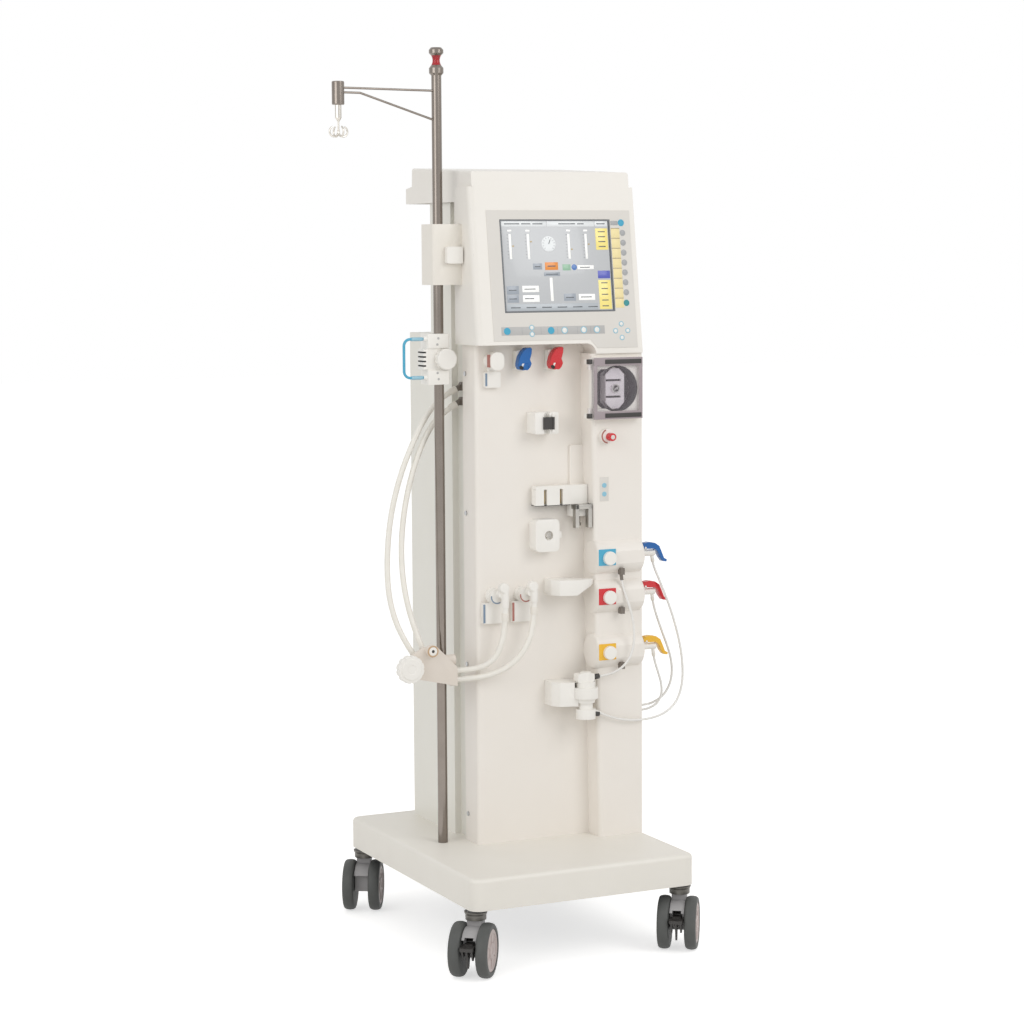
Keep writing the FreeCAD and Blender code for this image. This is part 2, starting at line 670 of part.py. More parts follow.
def rear_cover():
    """Three sheets: lower back, shelf and upper back."""
    lower = box(CAB_LEFT, CAB_RIGHT, REAR_Y - SHEET, REAR_Y, BASE_TOP, REAR_TOP - SHEET)
    shelf = box(CAB_LEFT, CAB_RIGHT, UPPER_BACK, REAR_Y, REAR_TOP - SHEET, REAR_TOP)
    upper = box(CAB_LEFT, CAB_RIGHT, UPPER_BACK - SHEET, UPPER_BACK, REAR_TOP - SHEET, UPPER_TOP)
    x, z, width, height = INLET
    lower = lower.cut(box(x - width / 2 - GAP, x + width / 2 + GAP, REAR_Y - 9, REAR_Y + 9,
                          z - GAP, z + height + GAP))
    for port_x in WATER_X:
        lower = lower.cut(rod(port_x, REAR_Y - 9, WATER_Z, Y_AXIS, WATER_RADIUS + GAP, 18))
    for row in range(VENT_ROWS):
        z = REAR_TOP - 170 + 14 * row
        lower = lower.cut(soft_box(0, 120, REAR_Y - 9, REAR_Y + 9, z, z + 6, 2.9, Y_AXIS))
    for screw_x in (CAB_LEFT + 9, CAB_RIGHT - 9):
        for z in REAR_SCREW_Z:
            lower = lower.cut(rod(screw_x, REAR_Y - 9, z, Y_AXIS, SCREW_RADIUS + RUN, 18))
    return [lower, shelf, upper]


def panel_screws():
    screws = []
    length = 8
    for side, x in ((1, CAB_LEFT), (-1, CAB_RIGHT)):
        for z in PANEL_SCREW_Z:
            head = rod(x, PANEL_SCREW_Y, z, X_AXIS * -side, SCREW_HEAD, 2)
            shank = rod(x, PANEL_SCREW_Y, z, X_AXIS * side, SCREW_RADIUS, length)
            screws.append(head.fuse(shank))
    for x in (CAB_LEFT + 9, CAB_RIGHT - 9):
        for z in REAR_SCREW_Z:
            head = rod(x, REAR_Y, z, Y_AXIS, SCREW_HEAD, 2)
            screws.append(head.fuse(rod(x, REAR_Y, z, Y_AXIS * -1, SCREW_RADIUS, length)))
    return screws


def head_face_y(z):
    """Where the tilted front of the head lies at a height."""
    return HEAD_REF_Y + (z - HEAD_REF_Z) * math.tan(math.radians(HEAD_TILT))


def on_head(shape):
    """Carry a shape drawn upright at the reference height onto the tilted face."""
    place = moved(shape, 0, HEAD_REF_Y, HEAD_REF_Z)
    return turned(place, V(0, HEAD_REF_Y, HEAD_REF_Z), X_AXIS, -HEAD_TILT)


def face_height(z):
    """Distance up the tilted face from the reference height."""
    return (z - HEAD_REF_Z) / math.cos(math.radians(HEAD_TILT))


def head_block(inset, back):
    low = HEAD_LOW + inset
    high = HEAD_TOP - inset
    front = inset / math.cos(math.radians(HEAD_TILT))
    return outline_yz([(head_face_y(low) + front, low), (back, low), (back, high),
                       (head_face_y(high) + front, high)], HEAD_LEFT + inset, CAB_RIGHT - inset)


def under_step(grow, front, back):
    """The space under the head's left part, with its rounded shoulder."""
    step = HEAD_STEP - HEAD_LOW
    flat = box(HEAD_LEFT - 5, HEAD_SHOULDER_X, front, back, HEAD_LOW - 5, HEAD_STEP + grow)
    curve = rod(HEAD_SHOULDER_X, front, HEAD_LOW, Y_AXIS, step + grow, back - front)
    return flat.fuse(curve)


def head_housing():
    wall = HEAD_WALL
    shell = head_block(0, COVER_BACK)
    shell = pick_fillet(shell, 12, lambda mid, edge: mid.x < HEAD_LEFT + 1 and mid.y < 0
                        and edge.Length > 200)
    shell = shell.cut(under_step(0, -200, COVER_BACK + 1))
    hollow = head_block(wall, COVER_BACK - wall).cut(under_step(wall, -200, COVER_BACK))
    shell = shell.cut(hollow)
    window = box(CAB_LEFT + COVER_LIP, CAB_RIGHT - COVER_LIP, COVER_BACK - wall - 1, COVER_BACK + 1,
                 HEAD_STEP + COVER_LIP, UPPER_TOP - 8)
    shell = shell.cut(window)
    half = SCREEN_WIDTH / 2 + GAP
    opening = box(SCREEN_CENTRE_X - half, SCREEN_CENTRE_X + half, -20, 20,
                  -GAP, SCREEN_HEIGHT + GAP)
    return shell.cut(on_head(opening))


def screen():
    half = SCREEN_WIDTH / 2
    glass = soft_box(SCREEN_CENTRE_X - half, SCREEN_CENTRE_X + half, 0.2, SCREEN_DEPTH,
                     0, SCREEN_HEIGHT, 1.5, Y_AXIS)
    back = box(SCREEN_CENTRE_X - half + 8, SCREEN_CENTRE_X + half - 8, SCREEN_DEPTH - 1,
               SCREEN_DEPTH + 10, 8, SCREEN_HEIGHT - 8)
    flange = box(SCREEN_CENTRE_X - half - 5, SCREEN_CENTRE_X + half + 5, HEAD_WALL + 0.1,
                 HEAD_WALL + 3, -5, SCREEN_HEIGHT + 5)
    return on_head(glass.fuse(flange).fuse(back))


def keypad_overlay():
    low = face_height(KEYPAD_LOW)
    low_right = face_height(KEYPAD_LOW_RIGHT)
    top = face_height(KEYPAD_TOP)
    knee = HEAD_SHOULDER_X + 8
    sheet = outline_xz([(KEYPAD_LEFT, low), (knee, low), (knee + 14, low_right),
                        (KEYPAD_RIGHT, low_right), (KEYPAD_RIGHT, top), (KEYPAD_LEFT, top)],
                       -KEYPAD_THICK, 0)
    half = SCREEN_WIDTH / 2 + GAP
    opening = box(SCREEN_CENTRE_X - half, SCREEN_CENTRE_X + half, -5, 5, -GAP, SCREEN_HEIGHT + GAP)
    return on_head(sheet.cut(opening))


def lid_block(inset, drop):
    """Side outline of the top cover; drop takes its underside further down."""
    front_low = head_face_y(HEAD_TOP) + inset
    points = [(front_low, HEAD_TOP - drop), (front_low + 4, LID_FRONT_TOP - inset),
              (LID_STEP_Y - inset, LID_REAR_TOP - inset), (LID_STEP_Y + 2 - inset, HEAD_TOP + 6),
              (LID_REAR_Y - inset, HEAD_TOP + 2), (LID_REAR_Y - inset, UPPER_TOP - drop),
              (COVER_BACK + inset, UPPER_TOP - drop), (COVER_BACK + inset, HEAD_TOP - drop)]
    return outline_yz(points, LID_LEFT + inset, LID_RIGHT - inset)


def top_cover():
    lid = lid_block(0, 0)
    lid = pick_fillet(lid, 5, lambda mid, edge: mid.z > LID_FRONT_TOP - 5
                      and (mid.x < LID_LEFT + 1 or mid.x > LID_RIGHT - 1) and edge.Length > 200)
    lid = lid.cut(lid_block(LID_WALL, 12))
    skirt = box(LID_LEFT - 1, LID_RIGHT + 1, COVER_BACK - 20, COVER_BACK, HEAD_TOP - 14, HEAD_TOP)
    return lid.cut(skirt)


# Infusion pole

def about_pole(shape):
    return turned(shape, POLE, Z_AXIS, ARM_TURN)


def hub_centre():
    return V(POLE_X - ARM_REACH, POLE_Y, 0)


def iv_pole():
    tube = rod(POLE_X, POLE_Y, POLE_FOOT, Z_AXIS, POLE_RADIUS, POLE_TOP - POLE_FOOT)
    tube = tube.cut(rod(POLE_X, POLE_Y, POLE_FOOT - 1, Z_AXIS, POLE_RADIUS - POLE_WALL,
                        POLE_TOP - POLE_FOOT + 2))
    reach = ARM_REACH - HUB_RADIUS + 2
    skin = POLE_RADIUS - 1
    upper = rod(POLE_X - skin, POLE_Y, ARM_Z, X_AXIS * -1, ARM_WIRE, reach - skin)
    bend = V(POLE_X - BRACE_BEND, POLE_Y, BRACE_Z)
    root = V(POLE_X - skin, POLE_Y, BRACE_POLE_Z)
    slope = Part.makeCylinder(ARM_WIRE, (bend - root).Length, root, bend - root)
    elbow = Part.makeSphere(ARM_WIRE, bend)
    level = rod(bend.x, POLE_Y, BRACE_Z, X_AXIS * -1, ARM_WIRE, reach - BRACE_BEND)
    centre = hub_centre()
    hub = rod(centre.x, centre.y, HUB_LOW, Z_AXIS, HUB_RADIUS, HUB_TOP - HUB_LOW)
    hub = pick_fillet(hub, 2, lambda mid, edge: len(edge.Vertexes) == 1)
    hub = hub.cut(rod(centre.x, centre.y, HUB_LOW - 1, Z_AXIS, HUB_BORE + RUN, 22))
    hub = hub.cut(rod(centre.x, centre.y, HUB_GROOVE_Z, Z_AXIS, HUB_GROOVE, HUB_GROOVE_WIDTH))
    arm = upper.fuse([slope, elbow, level, hub]).cut(rod(POLE_X, POLE_Y, POLE_FOOT, Z_AXIS,
                                                         POLE_RADIUS, POLE_TOP - POLE_FOOT))
    ball = spun([(0, 0), (9.5, 0), (LAMP_RADIUS, 4), (LAMP_RADIUS, LAMP_BALL - 5),
                 (9, LAMP_BALL), (0, LAMP_BALL)], V(POLE_X, POLE_Y, POLE_TOP))
    cap_low = POLE_TOP + LAMP_BALL + LAMP_WAIST
    cap = spun([(0, 0), (9, 0), (LAMP_RADIUS, 4), (LAMP_RADIUS, LAMP_CAP - 4),
                (9.5, LAMP_CAP), (0, LAMP_CAP)], V(POLE_X, POLE_Y, cap_low))
    return [tube, about_pole(arm), ball, cap]


def lamp_lens():
    profile = [(0, 0), (9, 0)]
    for count in range(1, 8):
        share = count / 8
        radius = LAMP_WAIST_RADIUS + (9 - LAMP_WAIST_RADIUS) * (2 * share - 1) ** 2
        profile.append((radius, LAMP_WAIST * share))
    profile += [(9, LAMP_WAIST), (0, LAMP_WAIST)]
    return spun(profile, V(POLE_X, POLE_Y, POLE_TOP + LAMP_BALL))


def hook():
    """A swivelling stem with J-shaped prongs set round it."""
    centre = hub_centre()
    neck = rod(centre.x, centre.y, HUB_LOW - 1, Z_AXIS, HUB_BORE, 16)
    button = rod(centre.x, centre.y, HUB_GROOVE_Z + GAP, Z_AXIS, HUB_GROOVE - GAP,
                 HUB_GROOVE_WIDTH - 2 * GAP)
    stem_top = HUB_LOW - GAP
    stem = rod(centre.x, centre.y, HOOK_STEM_LOW, Z_AXIS, HOOK_STEM_RADIUS, stem_top - HOOK_STEM_LOW)
    tip = Part.makeCone(HOOK_WIRE, HOOK_STEM_RADIUS, 7, V(centre.x, centre.y, HOOK_STEM_LOW - 7))
    spine = rod(centre.x, centre.y, HOOK_LOOP_Z - 2, Z_AXIS, HOOK_WIRE,
                HOOK_STEM_LOW - HOOK_LOOP_Z)
    body = neck.fuse([button, stem, tip, spine])
    loop_x = HOOK_LOOP + HOOK_WIRE * 0.4
    for count in range(HOOK_PRONGS):
        middle = V(centre.x + loop_x, centre.y, HOOK_LOOP_Z)
        ring = Part.makeTorus(HOOK_LOOP, HOOK_WIRE, middle, Y_AXIS, 0, 360, 360)
        mouth = outline_xz([(middle.x - HOOK_LOOP, middle.z + 3), (middle.x + 3, middle.z + 2),
                            (middle.x + 3, middle.z + 16), (middle.x - HOOK_LOOP, middle.z + 16)],
                           centre.y - 5, centre.y + 5)
        prong = ring.cut(mouth)
        body = body.fuse(turned(prong, centre, Z_AXIS, 360 * count / HOOK_PRONGS))
    return about_pole(body)


def pole_bracket():
    block = soft_box(BRACKET_LEFT, HEAD_LEFT, BRACKET_FRONT, BRACKET_BACK, BRACKET_LOW, BRACKET_TOP,
                     4, Z_AXIS)
    block = block.cut(rod(POLE_X, POLE_Y, BRACKET_LOW - 1, Z_AXIS, HOLE,
                          BRACKET_TOP - BRACKET_LOW + 2))
    foot = box(HEAD_LEFT - 8, HEAD_LEFT, BRACKET_FRONT, COVER_BACK, BRACKET_LOW, BRACKET_TOP)
    reach = BRACKET_FRONT - 1
    pin_hole = rod(LATCH_PIN_X, reach, LATCH_Z, Y_AXIS, LATCH_PIN + RUN, POLE_Y - reach)
    return block.fuse(foot).cut(pin_hole)


def bracket_latch():
    back = BRACKET_FRONT - GAP
    front = back - LATCH_DEPTH
    cap = soft_box(LATCH_X - LATCH_WIDTH / 2, LATCH_X + LATCH_WIDTH / 2, front, back,
                   LATCH_Z - LATCH_HEIGHT / 2, LATCH_Z + LATCH_HEIGHT / 2, 3, Y_AXIS)
    across = LATCH_PIN_X - LATCH_PIN - POLE_X
    pole_skin = POLE_Y - math.sqrt(POLE_RADIUS ** 2 - across ** 2)
    return cap.fuse(rod(LATCH_PIN_X, front + 2, LATCH_Z, Y_AXIS, LATCH_PIN,
                        pole_skin - GAP - front - 2))


# Line holder on the pole

def bail_levels():
    return HOLDER_LOW + 13, HOLDER_TOP - 9


def holder_body():
    block = soft_box(HOLDER_LEFT, HOLDER_RIGHT, HOLDER_FRONT, HOLDER_BACK, HOLDER_LOW, HOLDER_TOP,
                     3, Z_AXIS)
    middle = (HOLDER_LOW + HOLDER_TOP) / 2
    jaw = box(HOLDER_LEFT - 8, HOLDER_LEFT + 1, HOLDER_FRONT + 2, HOLDER_BACK - 8,
              middle - 18, middle + 18)
    for count in range(4):
        z = middle - 13 + 8 * count
        jaw = jaw.cut(box(HOLDER_LEFT - 9, HOLDER_LEFT - 3, HOLDER_FRONT, HOLDER_BACK, z, z + 3))
    waist = box(HOLDER_LEFT - 1, HOLDER_RIGHT + 1, HOLDER_FRONT - 1, HOLDER_FRONT + 3,
                middle - HOLDER_KNOB_RADIUS - 1, middle + HOLDER_KNOB_RADIUS + 1)
    block = block.cut(waist).fuse(jaw)
    block = block.cut(rod(POLE_X, POLE_Y, HOLDER_LOW - 1, Z_AXIS, HOLE, HOLDER_TOP - HOLDER_LOW + 2))
    for z in bail_levels():
        block = block.cut(rod(HOLDER_LEFT - 1, BAIL_Y, z, X_AXIS, BAIL_WIRE + RUN, BAIL_DEPTH + 1))
        sleeve = rod(HOLDER_LEFT - 7, BAIL_Y, z, X_AXIS, BAIL_WIRE + 1.8, 8)
        block = block.fuse(sleeve.cut(rod(HOLDER_LEFT - 8, BAIL_Y, z, X_AXIS,
                                          BAIL_WIRE + RUN, 10)))
    return block.cut(rod(KNOB_SCREW_X, HOLDER_FRONT - 5, middle, Y_AXIS,
                         KNOB_SCREW + RUN, 14))


def holder_knob():
    middle = (HOLDER_LOW + HOLDER_TOP) / 2
    back = HOLDER_FRONT + 3 - GAP
    front = back - HOLDER_KNOB_DEPTH
    disc = rod(KNOB_SCREW_X, front, middle, Y_AXIS, HOLDER_KNOB_RADIUS, HOLDER_KNOB_DEPTH)
    disc = pick_fillet(disc, 2, lambda mid, edge: mid.y < front + 0.1)
    for count in range(12):
        dent = rod(KNOB_SCREW_X + HOLDER_KNOB_RADIUS + 1.2, front - 1, middle, Y_AXIS, 2.4,
                   HOLDER_KNOB_DEPTH + 2)
        disc = disc.cut(turned(dent, V(KNOB_SCREW_X, 0, middle), Y_AXIS, 30 * count))
    return disc.fuse(rod(KNOB_SCREW_X, back - 1, middle, Y_AXIS, KNOB_SCREW, 5))


def holder_bail():
    """A wire bow whose two legs slide in the holder's sleeves."""
    low, high = bail_levels()
    y = BAIL_Y
    inner = HOLDER_LEFT + BAIL_DEPTH - 2
    outer = HOLDER_LEFT - BAIL_REACH
    bend = 12.0
    corners = [V(inner, y, high), V(outer + bend, y, high), V(outer, y, high - bend),
               V(outer, y, low + bend), V(outer + bend, y, low), V(inner, y, low)]
    slant = bend * (1 - math.cos(math.pi / 4))
    edges = [Part.LineSegment(corners[0], corners[1]).toShape(),
             Part.Arc(corners[1], V(outer + slant, y, high - slant), corners[2]).toShape(),
             Part.LineSegment(corners[2], corners[3]).toShape(),
             Part.Arc(corners[3], V(outer + slant, y, low + slant), corners[4]).toShape(),
             Part.LineSegment(corners[4], corners[5]).toShape()]
    ring = Part.Wire(Part.makeCircle(BAIL_WIRE, corners[0], X_AXIS))
    return Part.Wire(edges).makePipeShell([ring], True, False)


# Hose clamp on the pole

def hose_clamp_body():
    """Ring block on the pole, a saddle with two hose lanes and a plate for the knobs."""
    ring = soft_box(POLE_X - 16, POLE_X + 16, -16, POLE_Y + 17, CLAMP_LOW, CLAMP_TOP, 4, Z_AXIS)
    saddle = box(CLAMP_RIGHT - 11, CLAMP_RIGHT, CLAMP_PLATE_FRONT + CLAMP_PLATE_THICK, -15,
                 CLAMP_LOW, CLAMP_TOP)
    plate = outline_xz([(CLAMP_KNOB_X - 12, CLAMP_KNOB_Z - 14), (CLAMP_RIGHT, CLAMP_LOW),
                        (CLAMP_RIGHT, CLAMP_TOP), (POLE_X - 38, CLAMP_RING_Z + 6),
                        (POLE_X - 64, CLAMP_RING_Z + 6), (CLAMP_KNOB_X - 12, CLAMP_KNOB_Z + 14)],
                       CLAMP_PLATE_FRONT, CLAMP_PLATE_FRONT + CLAMP_PLATE_THICK)
    body = ring.fuse(saddle).fuse(plate)
    body = body.cut(rod(POLE_X, POLE_Y, CLAMP_LOW - 1, Z_AXIS, HOLE, CLAMP_TOP - CLAMP_LOW + 2))
    for z in HOSE_LANE_Z:
        body = body.cut(rod(CLAMP_RIGHT - 13, HOSE_LANE_Y, z, X_AXIS, HOSE_DIAMETER / 2 + GAP, 20))
    collar = rod(CLAMP_RING_X, CLAMP_PLATE_FRONT - 12, CLAMP_RING_Z, Y_AXIS, 10.5, 13)
    collar = collar.cut(rod(CLAMP_RING_X, CLAMP_PLATE_FRONT - 13, CLAMP_RING_Z, Y_AXIS, 3.5, 9))
    grip = rod(CLAMP_RIGHT - 24, -36, CLAMP_TOP + CLAMP_GRIP_RADIUS, X_AXIS, CLAMP_GRIP_RADIUS, 28)
    grip = grip.fuse(box(CLAMP_RIGHT - 18, CLAMP_RIGHT, -36, -8, CLAMP_TOP - 1, CLAMP_TOP + 6))
    body = body.fuse(collar).fuse(grip)
    return body.cut(rod(CLAMP_KNOB_X, CLAMP_PLATE_FRONT - 1, CLAMP_KNOB_Z, Y_AXIS,
                        KNOB_SCREW + RUN, CLAMP_SCREW_LENGTH + 1))


def hose_clamp_knob():
    back = CLAMP_PLATE_FRONT - GAP
    front = back - CLAMP_KNOB_DEPTH
    disc = rod(CLAMP_KNOB_X, front, CLAMP_KNOB_Z, Y_AXIS, CLAMP_KNOB_RADIUS, CLAMP_KNOB_DEPTH)
    disc = pick_fillet(disc, 2, lambda mid, edge: mid.y < front + 0.1)
    for count in range(12):
        dent = rod(CLAMP_KNOB_X + CLAMP_KNOB_RADIUS + 1.2, front - 1, CLAMP_KNOB_Z, Y_AXIS, 3,
                   CLAMP_KNOB_DEPTH + 2)
        disc = disc.cut(turned(dent, V(CLAMP_KNOB_X, 0, CLAMP_KNOB_Z), Y_AXIS, 30 * count))
    return disc.fuse(rod(CLAMP_KNOB_X, back - 1, CLAMP_KNOB_Z, Y_AXIS, KNOB_SCREW,
                         CLAMP_SCREW_LENGTH + 1))


# Blood pump

def pump_front():
    return COLUMN_Y - PUMP_FLANGE


def hinge_line():
    return PUMP_X[0] - DOOR_BARREL - GAP, pump_front() - 2


def pump_housing():
    front = pump_front()
    flange = soft_box(PUMP_X[0], PUMP_X[1], front, COLUMN_Y, PUMP_Z[0], PUMP_Z[1], 3, Y_AXIS)
    pot = box(PUMP_POT_LEFT, PUMP_X[1] - 4, COLUMN_Y - 1, COLUMN_Y + PUMP_DEPTH,
              PUMP_Z[0] + 4, PUMP_Z[1] - 4)
    body = flange.fuse(pot)
    body = body.cut(rod(PUMP_AXIS_X, front - 1, PUMP_AXIS_Z, Y_AXIS, RACEWAY_RADIUS,
                        RACEWAY_DEPTH + 1))
    inlet = box(PUMP_X[0] + 12, PUMP_AXIS_X - 10, front - 1, front + 18,
                PUMP_AXIS_Z - 36, PUMP_AXIS_Z + 36)
    body = body.cut(inlet)
    body = body.cut(rod(PUMP_AXIS_X, front, PUMP_AXIS_Z, Y_AXIS, SPINDLE_RADIUS + GAP, 80))
    x, y = hinge_line()
    for low, high, pin_low in ((PUMP_Z[1] - 11, PUMP_Z[1] - 3, PUMP_Z[1] - 21),
                               (PUMP_Z[0] + 3, PUMP_Z[0] + 11, PUMP_Z[0] + 10)):
        lug = box(x - DOOR_BARREL, x + DOOR_BARREL, y - DOOR_BARREL, COLUMN_Y, low, high)
        root = box(x, PUMP_X[0] + 1, front, COLUMN_Y, low, high)
        body = body.fuse([lug, root, rod(x, y, pin_low, Z_AXIS, DOOR_PIN, 11)])
    return body


def pump_door():
    """A see-through door, with barrels on the housing's two pins."""
    x, y = hinge_line()
    back = pump_front() - GAP
    plate = soft_box(PUMP_X[0] + DOOR_INSET, PUMP_X[1], back - DOOR_THICK, back,
                     PUMP_Z[0], PUMP_Z[1], 3, Y_AXIS)
    rim = box(PUMP_X[0] + 8, PUMP_X[1] - 7, back - DOOR_THICK - 1, back - 2.6,
              PUMP_Z[0] + 14, PUMP_Z[1] - 14)
    plate = plate.cut(rim)
    for low in (PUMP_Z[1] - 21, PUMP_Z[0] + 11 + GAP):
        length = 10 - GAP
        barrel = rod(x, y, low, Z_AXIS, DOOR_BARREL, length)
        leaf = box(x, PUMP_X[0] + 4, y - DOOR_BARREL, back, low, low + length)
        barrel = barrel.fuse(leaf).cut(rod(x, y, low - 1, Z_AXIS, DOOR_PIN + RUN, length + 2))
        plate = plate.fuse(barrel)
    return plate


def rotor_back():
    return pump_front() + RACEWAY_DEPTH - 3


def pump_rotor():
    """Two cheeks with a hub between them, and a pin at each end for a roller."""
    back = rotor_back()
    front = back - ROTOR_DEPTH
    half_w = ROTOR_WIDTH / 2
    half_l = ROTOR_LENGTH / 2
    corner = half_w - 8
    outline = [(-half_w, -half_l + corner), (-half_w, half_l - corner), (-8, half_l), (8, half_l),
               (half_w, half_l - corner), (half_w, -half_l + corner), (8, -half_l), (-8, -half_l)]
    outline = [(PUMP_AXIS_X + x, PUMP_AXIS_Z + z) for x, z in outline]
    rotor = outline_xz(outline, front, front + ROTOR_CHEEK)
    rotor = rotor.fuse(outline_xz(outline, back - ROTOR_CHEEK, back))
    hub_half = ROLLER_OFFSET - ROLLER_RADIUS - 3
    rotor = rotor.fuse(box(PUMP_AXIS_X - half_w, PUMP_AXIS_X + half_w, front + 1, back - 1,
                           PUMP_AXIS_Z - hub_half, PUMP_AXIS_Z + hub_half))
    for side in (-1, 1):
        slot_z = PUMP_AXIS_Z + side * 15
        rotor = rotor.cut(box(PUMP_AXIS_X - half_w - 1, PUMP_AXIS_X + half_w - 7, front - 1,
                              front + 3, slot_z - 2, slot_z + 2))
        rotor = rotor.fuse(rod(PUMP_AXIS_X, front + 1, PUMP_AXIS_Z + side * ROLLER_OFFSET, Y_AXIS,
                               ROLLER_PIN, ROTOR_DEPTH - 2))
    knob = rod(PUMP_AXIS_X, front - 4, PUMP_AXIS_Z, Y_AXIS, 8, 5)
    rotor = rotor.fuse(knob)
    return rotor.cut(rod(PUMP_AXIS_X, front + 6, PUMP_AXIS_Z, Y_AXIS, SPINDLE_RADIUS + RUN, 60))


def pump_roller(side):
    back = rotor_back() - ROTOR_CHEEK - GAP
    length = ROTOR_DEPTH - 2 * ROTOR_CHEEK - 2 * GAP
    z = PUMP_AXIS_Z + side * ROLLER_OFFSET
    roller = rod(PUMP_AXIS_X, back - length, z, Y_AXIS, ROLLER_RADIUS, length)
    return roller.cut(rod(PUMP_AXIS_X, back - length - 1, z, Y_AXIS, ROLLER_PIN + RUN, length + 2))


def pump_motor():
    back = COLUMN_Y + PUMP_DEPTH
    motor = rod(PUMP_AXIS_X, back, PUMP_AXIS_Z, Y_AXIS, MOTOR_RADIUS, MOTOR_LENGTH)
    tip = rotor_back() - ROTOR_DEPTH + 8
    return motor.fuse(rod(PUMP_AXIS_X, tip, PUMP_AXIS_Z, Y_AXIS, SPINDLE_RADIUS, back + 1 - tip))


# Small modules on the front

def line_clamp_base(x):
    front = FRONT_Y - LINE_CLAMP_DEPTH
    base = soft_box(x - 11, x + 11, front, FRONT_Y, LINE_CLAMP_Z - 10, LINE_CLAMP_Z + 26,
                    3, Y_AXIS)
    pin = rod(x - LEVER_PIN_LEFT, front - LEVER_THICK, LINE_CLAMP_Z, Y_AXIS, LEVER_PIN,
              LEVER_THICK + 1)
    return base.fuse(pin)


def line_clamp_lever(x):
    """A comma-shaped lever on the base's pin."""
    pin_x = x - LEVER_PIN_LEFT
    outline = [(pin_x + dx, LINE_CLAMP_Z + dz) for dx, dz in LEVER_OUTLINE]
    back = FRONT_Y - LINE_CLAMP_DEPTH
    front = back - LEVER_THICK
    lever = outline_xz(outline, front, back - GAP)
    lever = pick_fillet(lever, 1.5, lambda mid, edge: abs(mid.y - front) < 0.01)
    return lever.cut(rod(pin_x, front - 1, LINE_CLAMP_Z, Y_AXIS, LEVER_PIN + RUN, LEVER_THICK + 2))


def clip_module():
    x0, x1, z0, z1 = CLIP_MODULE
    body = soft_box(x0, x1, CLIP_FRONT, FRONT_Y, z0, z1, 9, Y_AXIS)
    middle_z = (z0 + z1) / 2
    body = body.cut(rod(x0 + 27, CLIP_FRONT - 1, middle_z, Y_AXIS, 8.5, 9))
    body = body.fuse(rod(x0 + 27, CLIP_FRONT + 1, middle_z, Y_AXIS, 5, 9))
    return body.fuse(box(x1 - 1, x1 + 6, CLIP_FRONT + 4, CLIP_FRONT + 14, middle_z - 6, middle_z + 6))


def detector_hinge():
    return DETECTOR[0] + DETECTOR_SLOT[1] + 6, DETECTOR_FRONT - DETECTOR_BARREL - 0.5


def air_detector():
    x0, x1, z0, z1 = DETECTOR
    body = soft_box(x0, x1, DETECTOR_FRONT, FRONT_Y, z0, z1, 3, Y_AXIS)
    body = body.cut(box(x0 + DETECTOR_SLOT[0], x0 + DETECTOR_SLOT[1], DETECTOR_FRONT - 1,
                        DETECTOR_FRONT + DETECTOR_SLOT_DEPTH, z0 - 1, z1 + 1))
    x, y = detector_hinge()
    half = DETECTOR_BARREL
    for low in (z0 + DETECTOR_LUG - 5, z1 - DETECTOR_LUG):
        body = body.fuse(box(x - half, x + half, y - half, DETECTOR_FRONT + 1, low, low + 5))
    return body.fuse(rod(x, y, z0 + 4, Z_AXIS, DETECTOR_PIN, z1 - z0 - 8))


def detector_door():
    x0, x1, z0, z1 = DETECTOR
    x, y = detector_hinge()
    low = z0 + DETECTOR_LUG + GAP
    high = z1 - DETECTOR_LUG - GAP
    plate = box(x0 + DETECTOR_SLOT[0] - 2, x, DETECTOR_FRONT - 3.4, DETECTOR_FRONT - GAP, low, high)
    barrel = rod(x, y, low, Z_AXIS, DETECTOR_BARREL, high - low)
    return plate.fuse(barrel).cut(rod(x, y, low - 1, Z_AXIS, DETECTOR_PIN + RUN, high - low + 2))


def sensor_bar():
    x0, x1, z0, z1 = SENSOR_BAR
    slot_back = SENSOR_FRONT + SENSOR_SLOT_DEPTH
    slot_top = z1 - 6
    sleeve = rod(PLUNGER_X, PLUNGER_Y, z0 - 1, Z_AXIS, PLUNGER_RADIUS + GAP, 14)
    back = soft_box(x0, x1, slot_back, FRONT_Y - 5, z0, z1, 3, Y_AXIS)
    back = back.fuse(box(x0 + 3, x0 + 76, slot_back + 1, FRONT_Y, z0 + 3, z1 - 3))
    pieces = [back.cut(sleeve), soft_box(x0, x1, SENSOR_FRONT, slot_back, slot_top, z1, 2, Y_AXIS)]
    edges = [x0]
    for slot in SENSOR_SLOTS:
        edges += [x0 + slot - SENSOR_SLOT_HALF, x0 + slot + SENSOR_SLOT_HALF]
    edges.append(x1)
    for left, right in zip(edges[::2], edges[1::2]):
        pieces.append(box(left, right, SENSOR_FRONT, slot_back, z0, slot_top).cut(sleeve))
    roof = z0 - JAW_ROOF
    bore = rod(PLUNGER_X, PLUNGER_Y, z0 - 30, Z_AXIS, PLUNGER_RADIUS + RUN, 40)
    top = box(JAW_X[0], JAW_X[1], JAW_FRONT, FRONT_Y - 5, roof, z0)
    rear = box(JAW_X[0], JAW_X[1], JAW_MOUTH_BACK, FRONT_Y - 5, z0 - 22, roof)
    pieces += [top.cut(bore), rear.cut(bore)]
    for x in (JAW_X[0], JAW_X[1] - JAW_CHEEK):
        pieces.append(box(x, x + JAW_CHEEK, JAW_FRONT, JAW_MOUTH_BACK, z0 - 42, roof))
    return pieces


def clamp_plunger():
    low = SENSOR_BAR[2] - 40
    stem = rod(PLUNGER_X, PLUNGER_Y, low, Z_AXIS, PLUNGER_RADIUS, 42)
    return stem.fuse(rod(PLUNGER_X, PLUNGER_Y, low, Z_AXIS, PLUNGER_RADIUS + 2, 5))


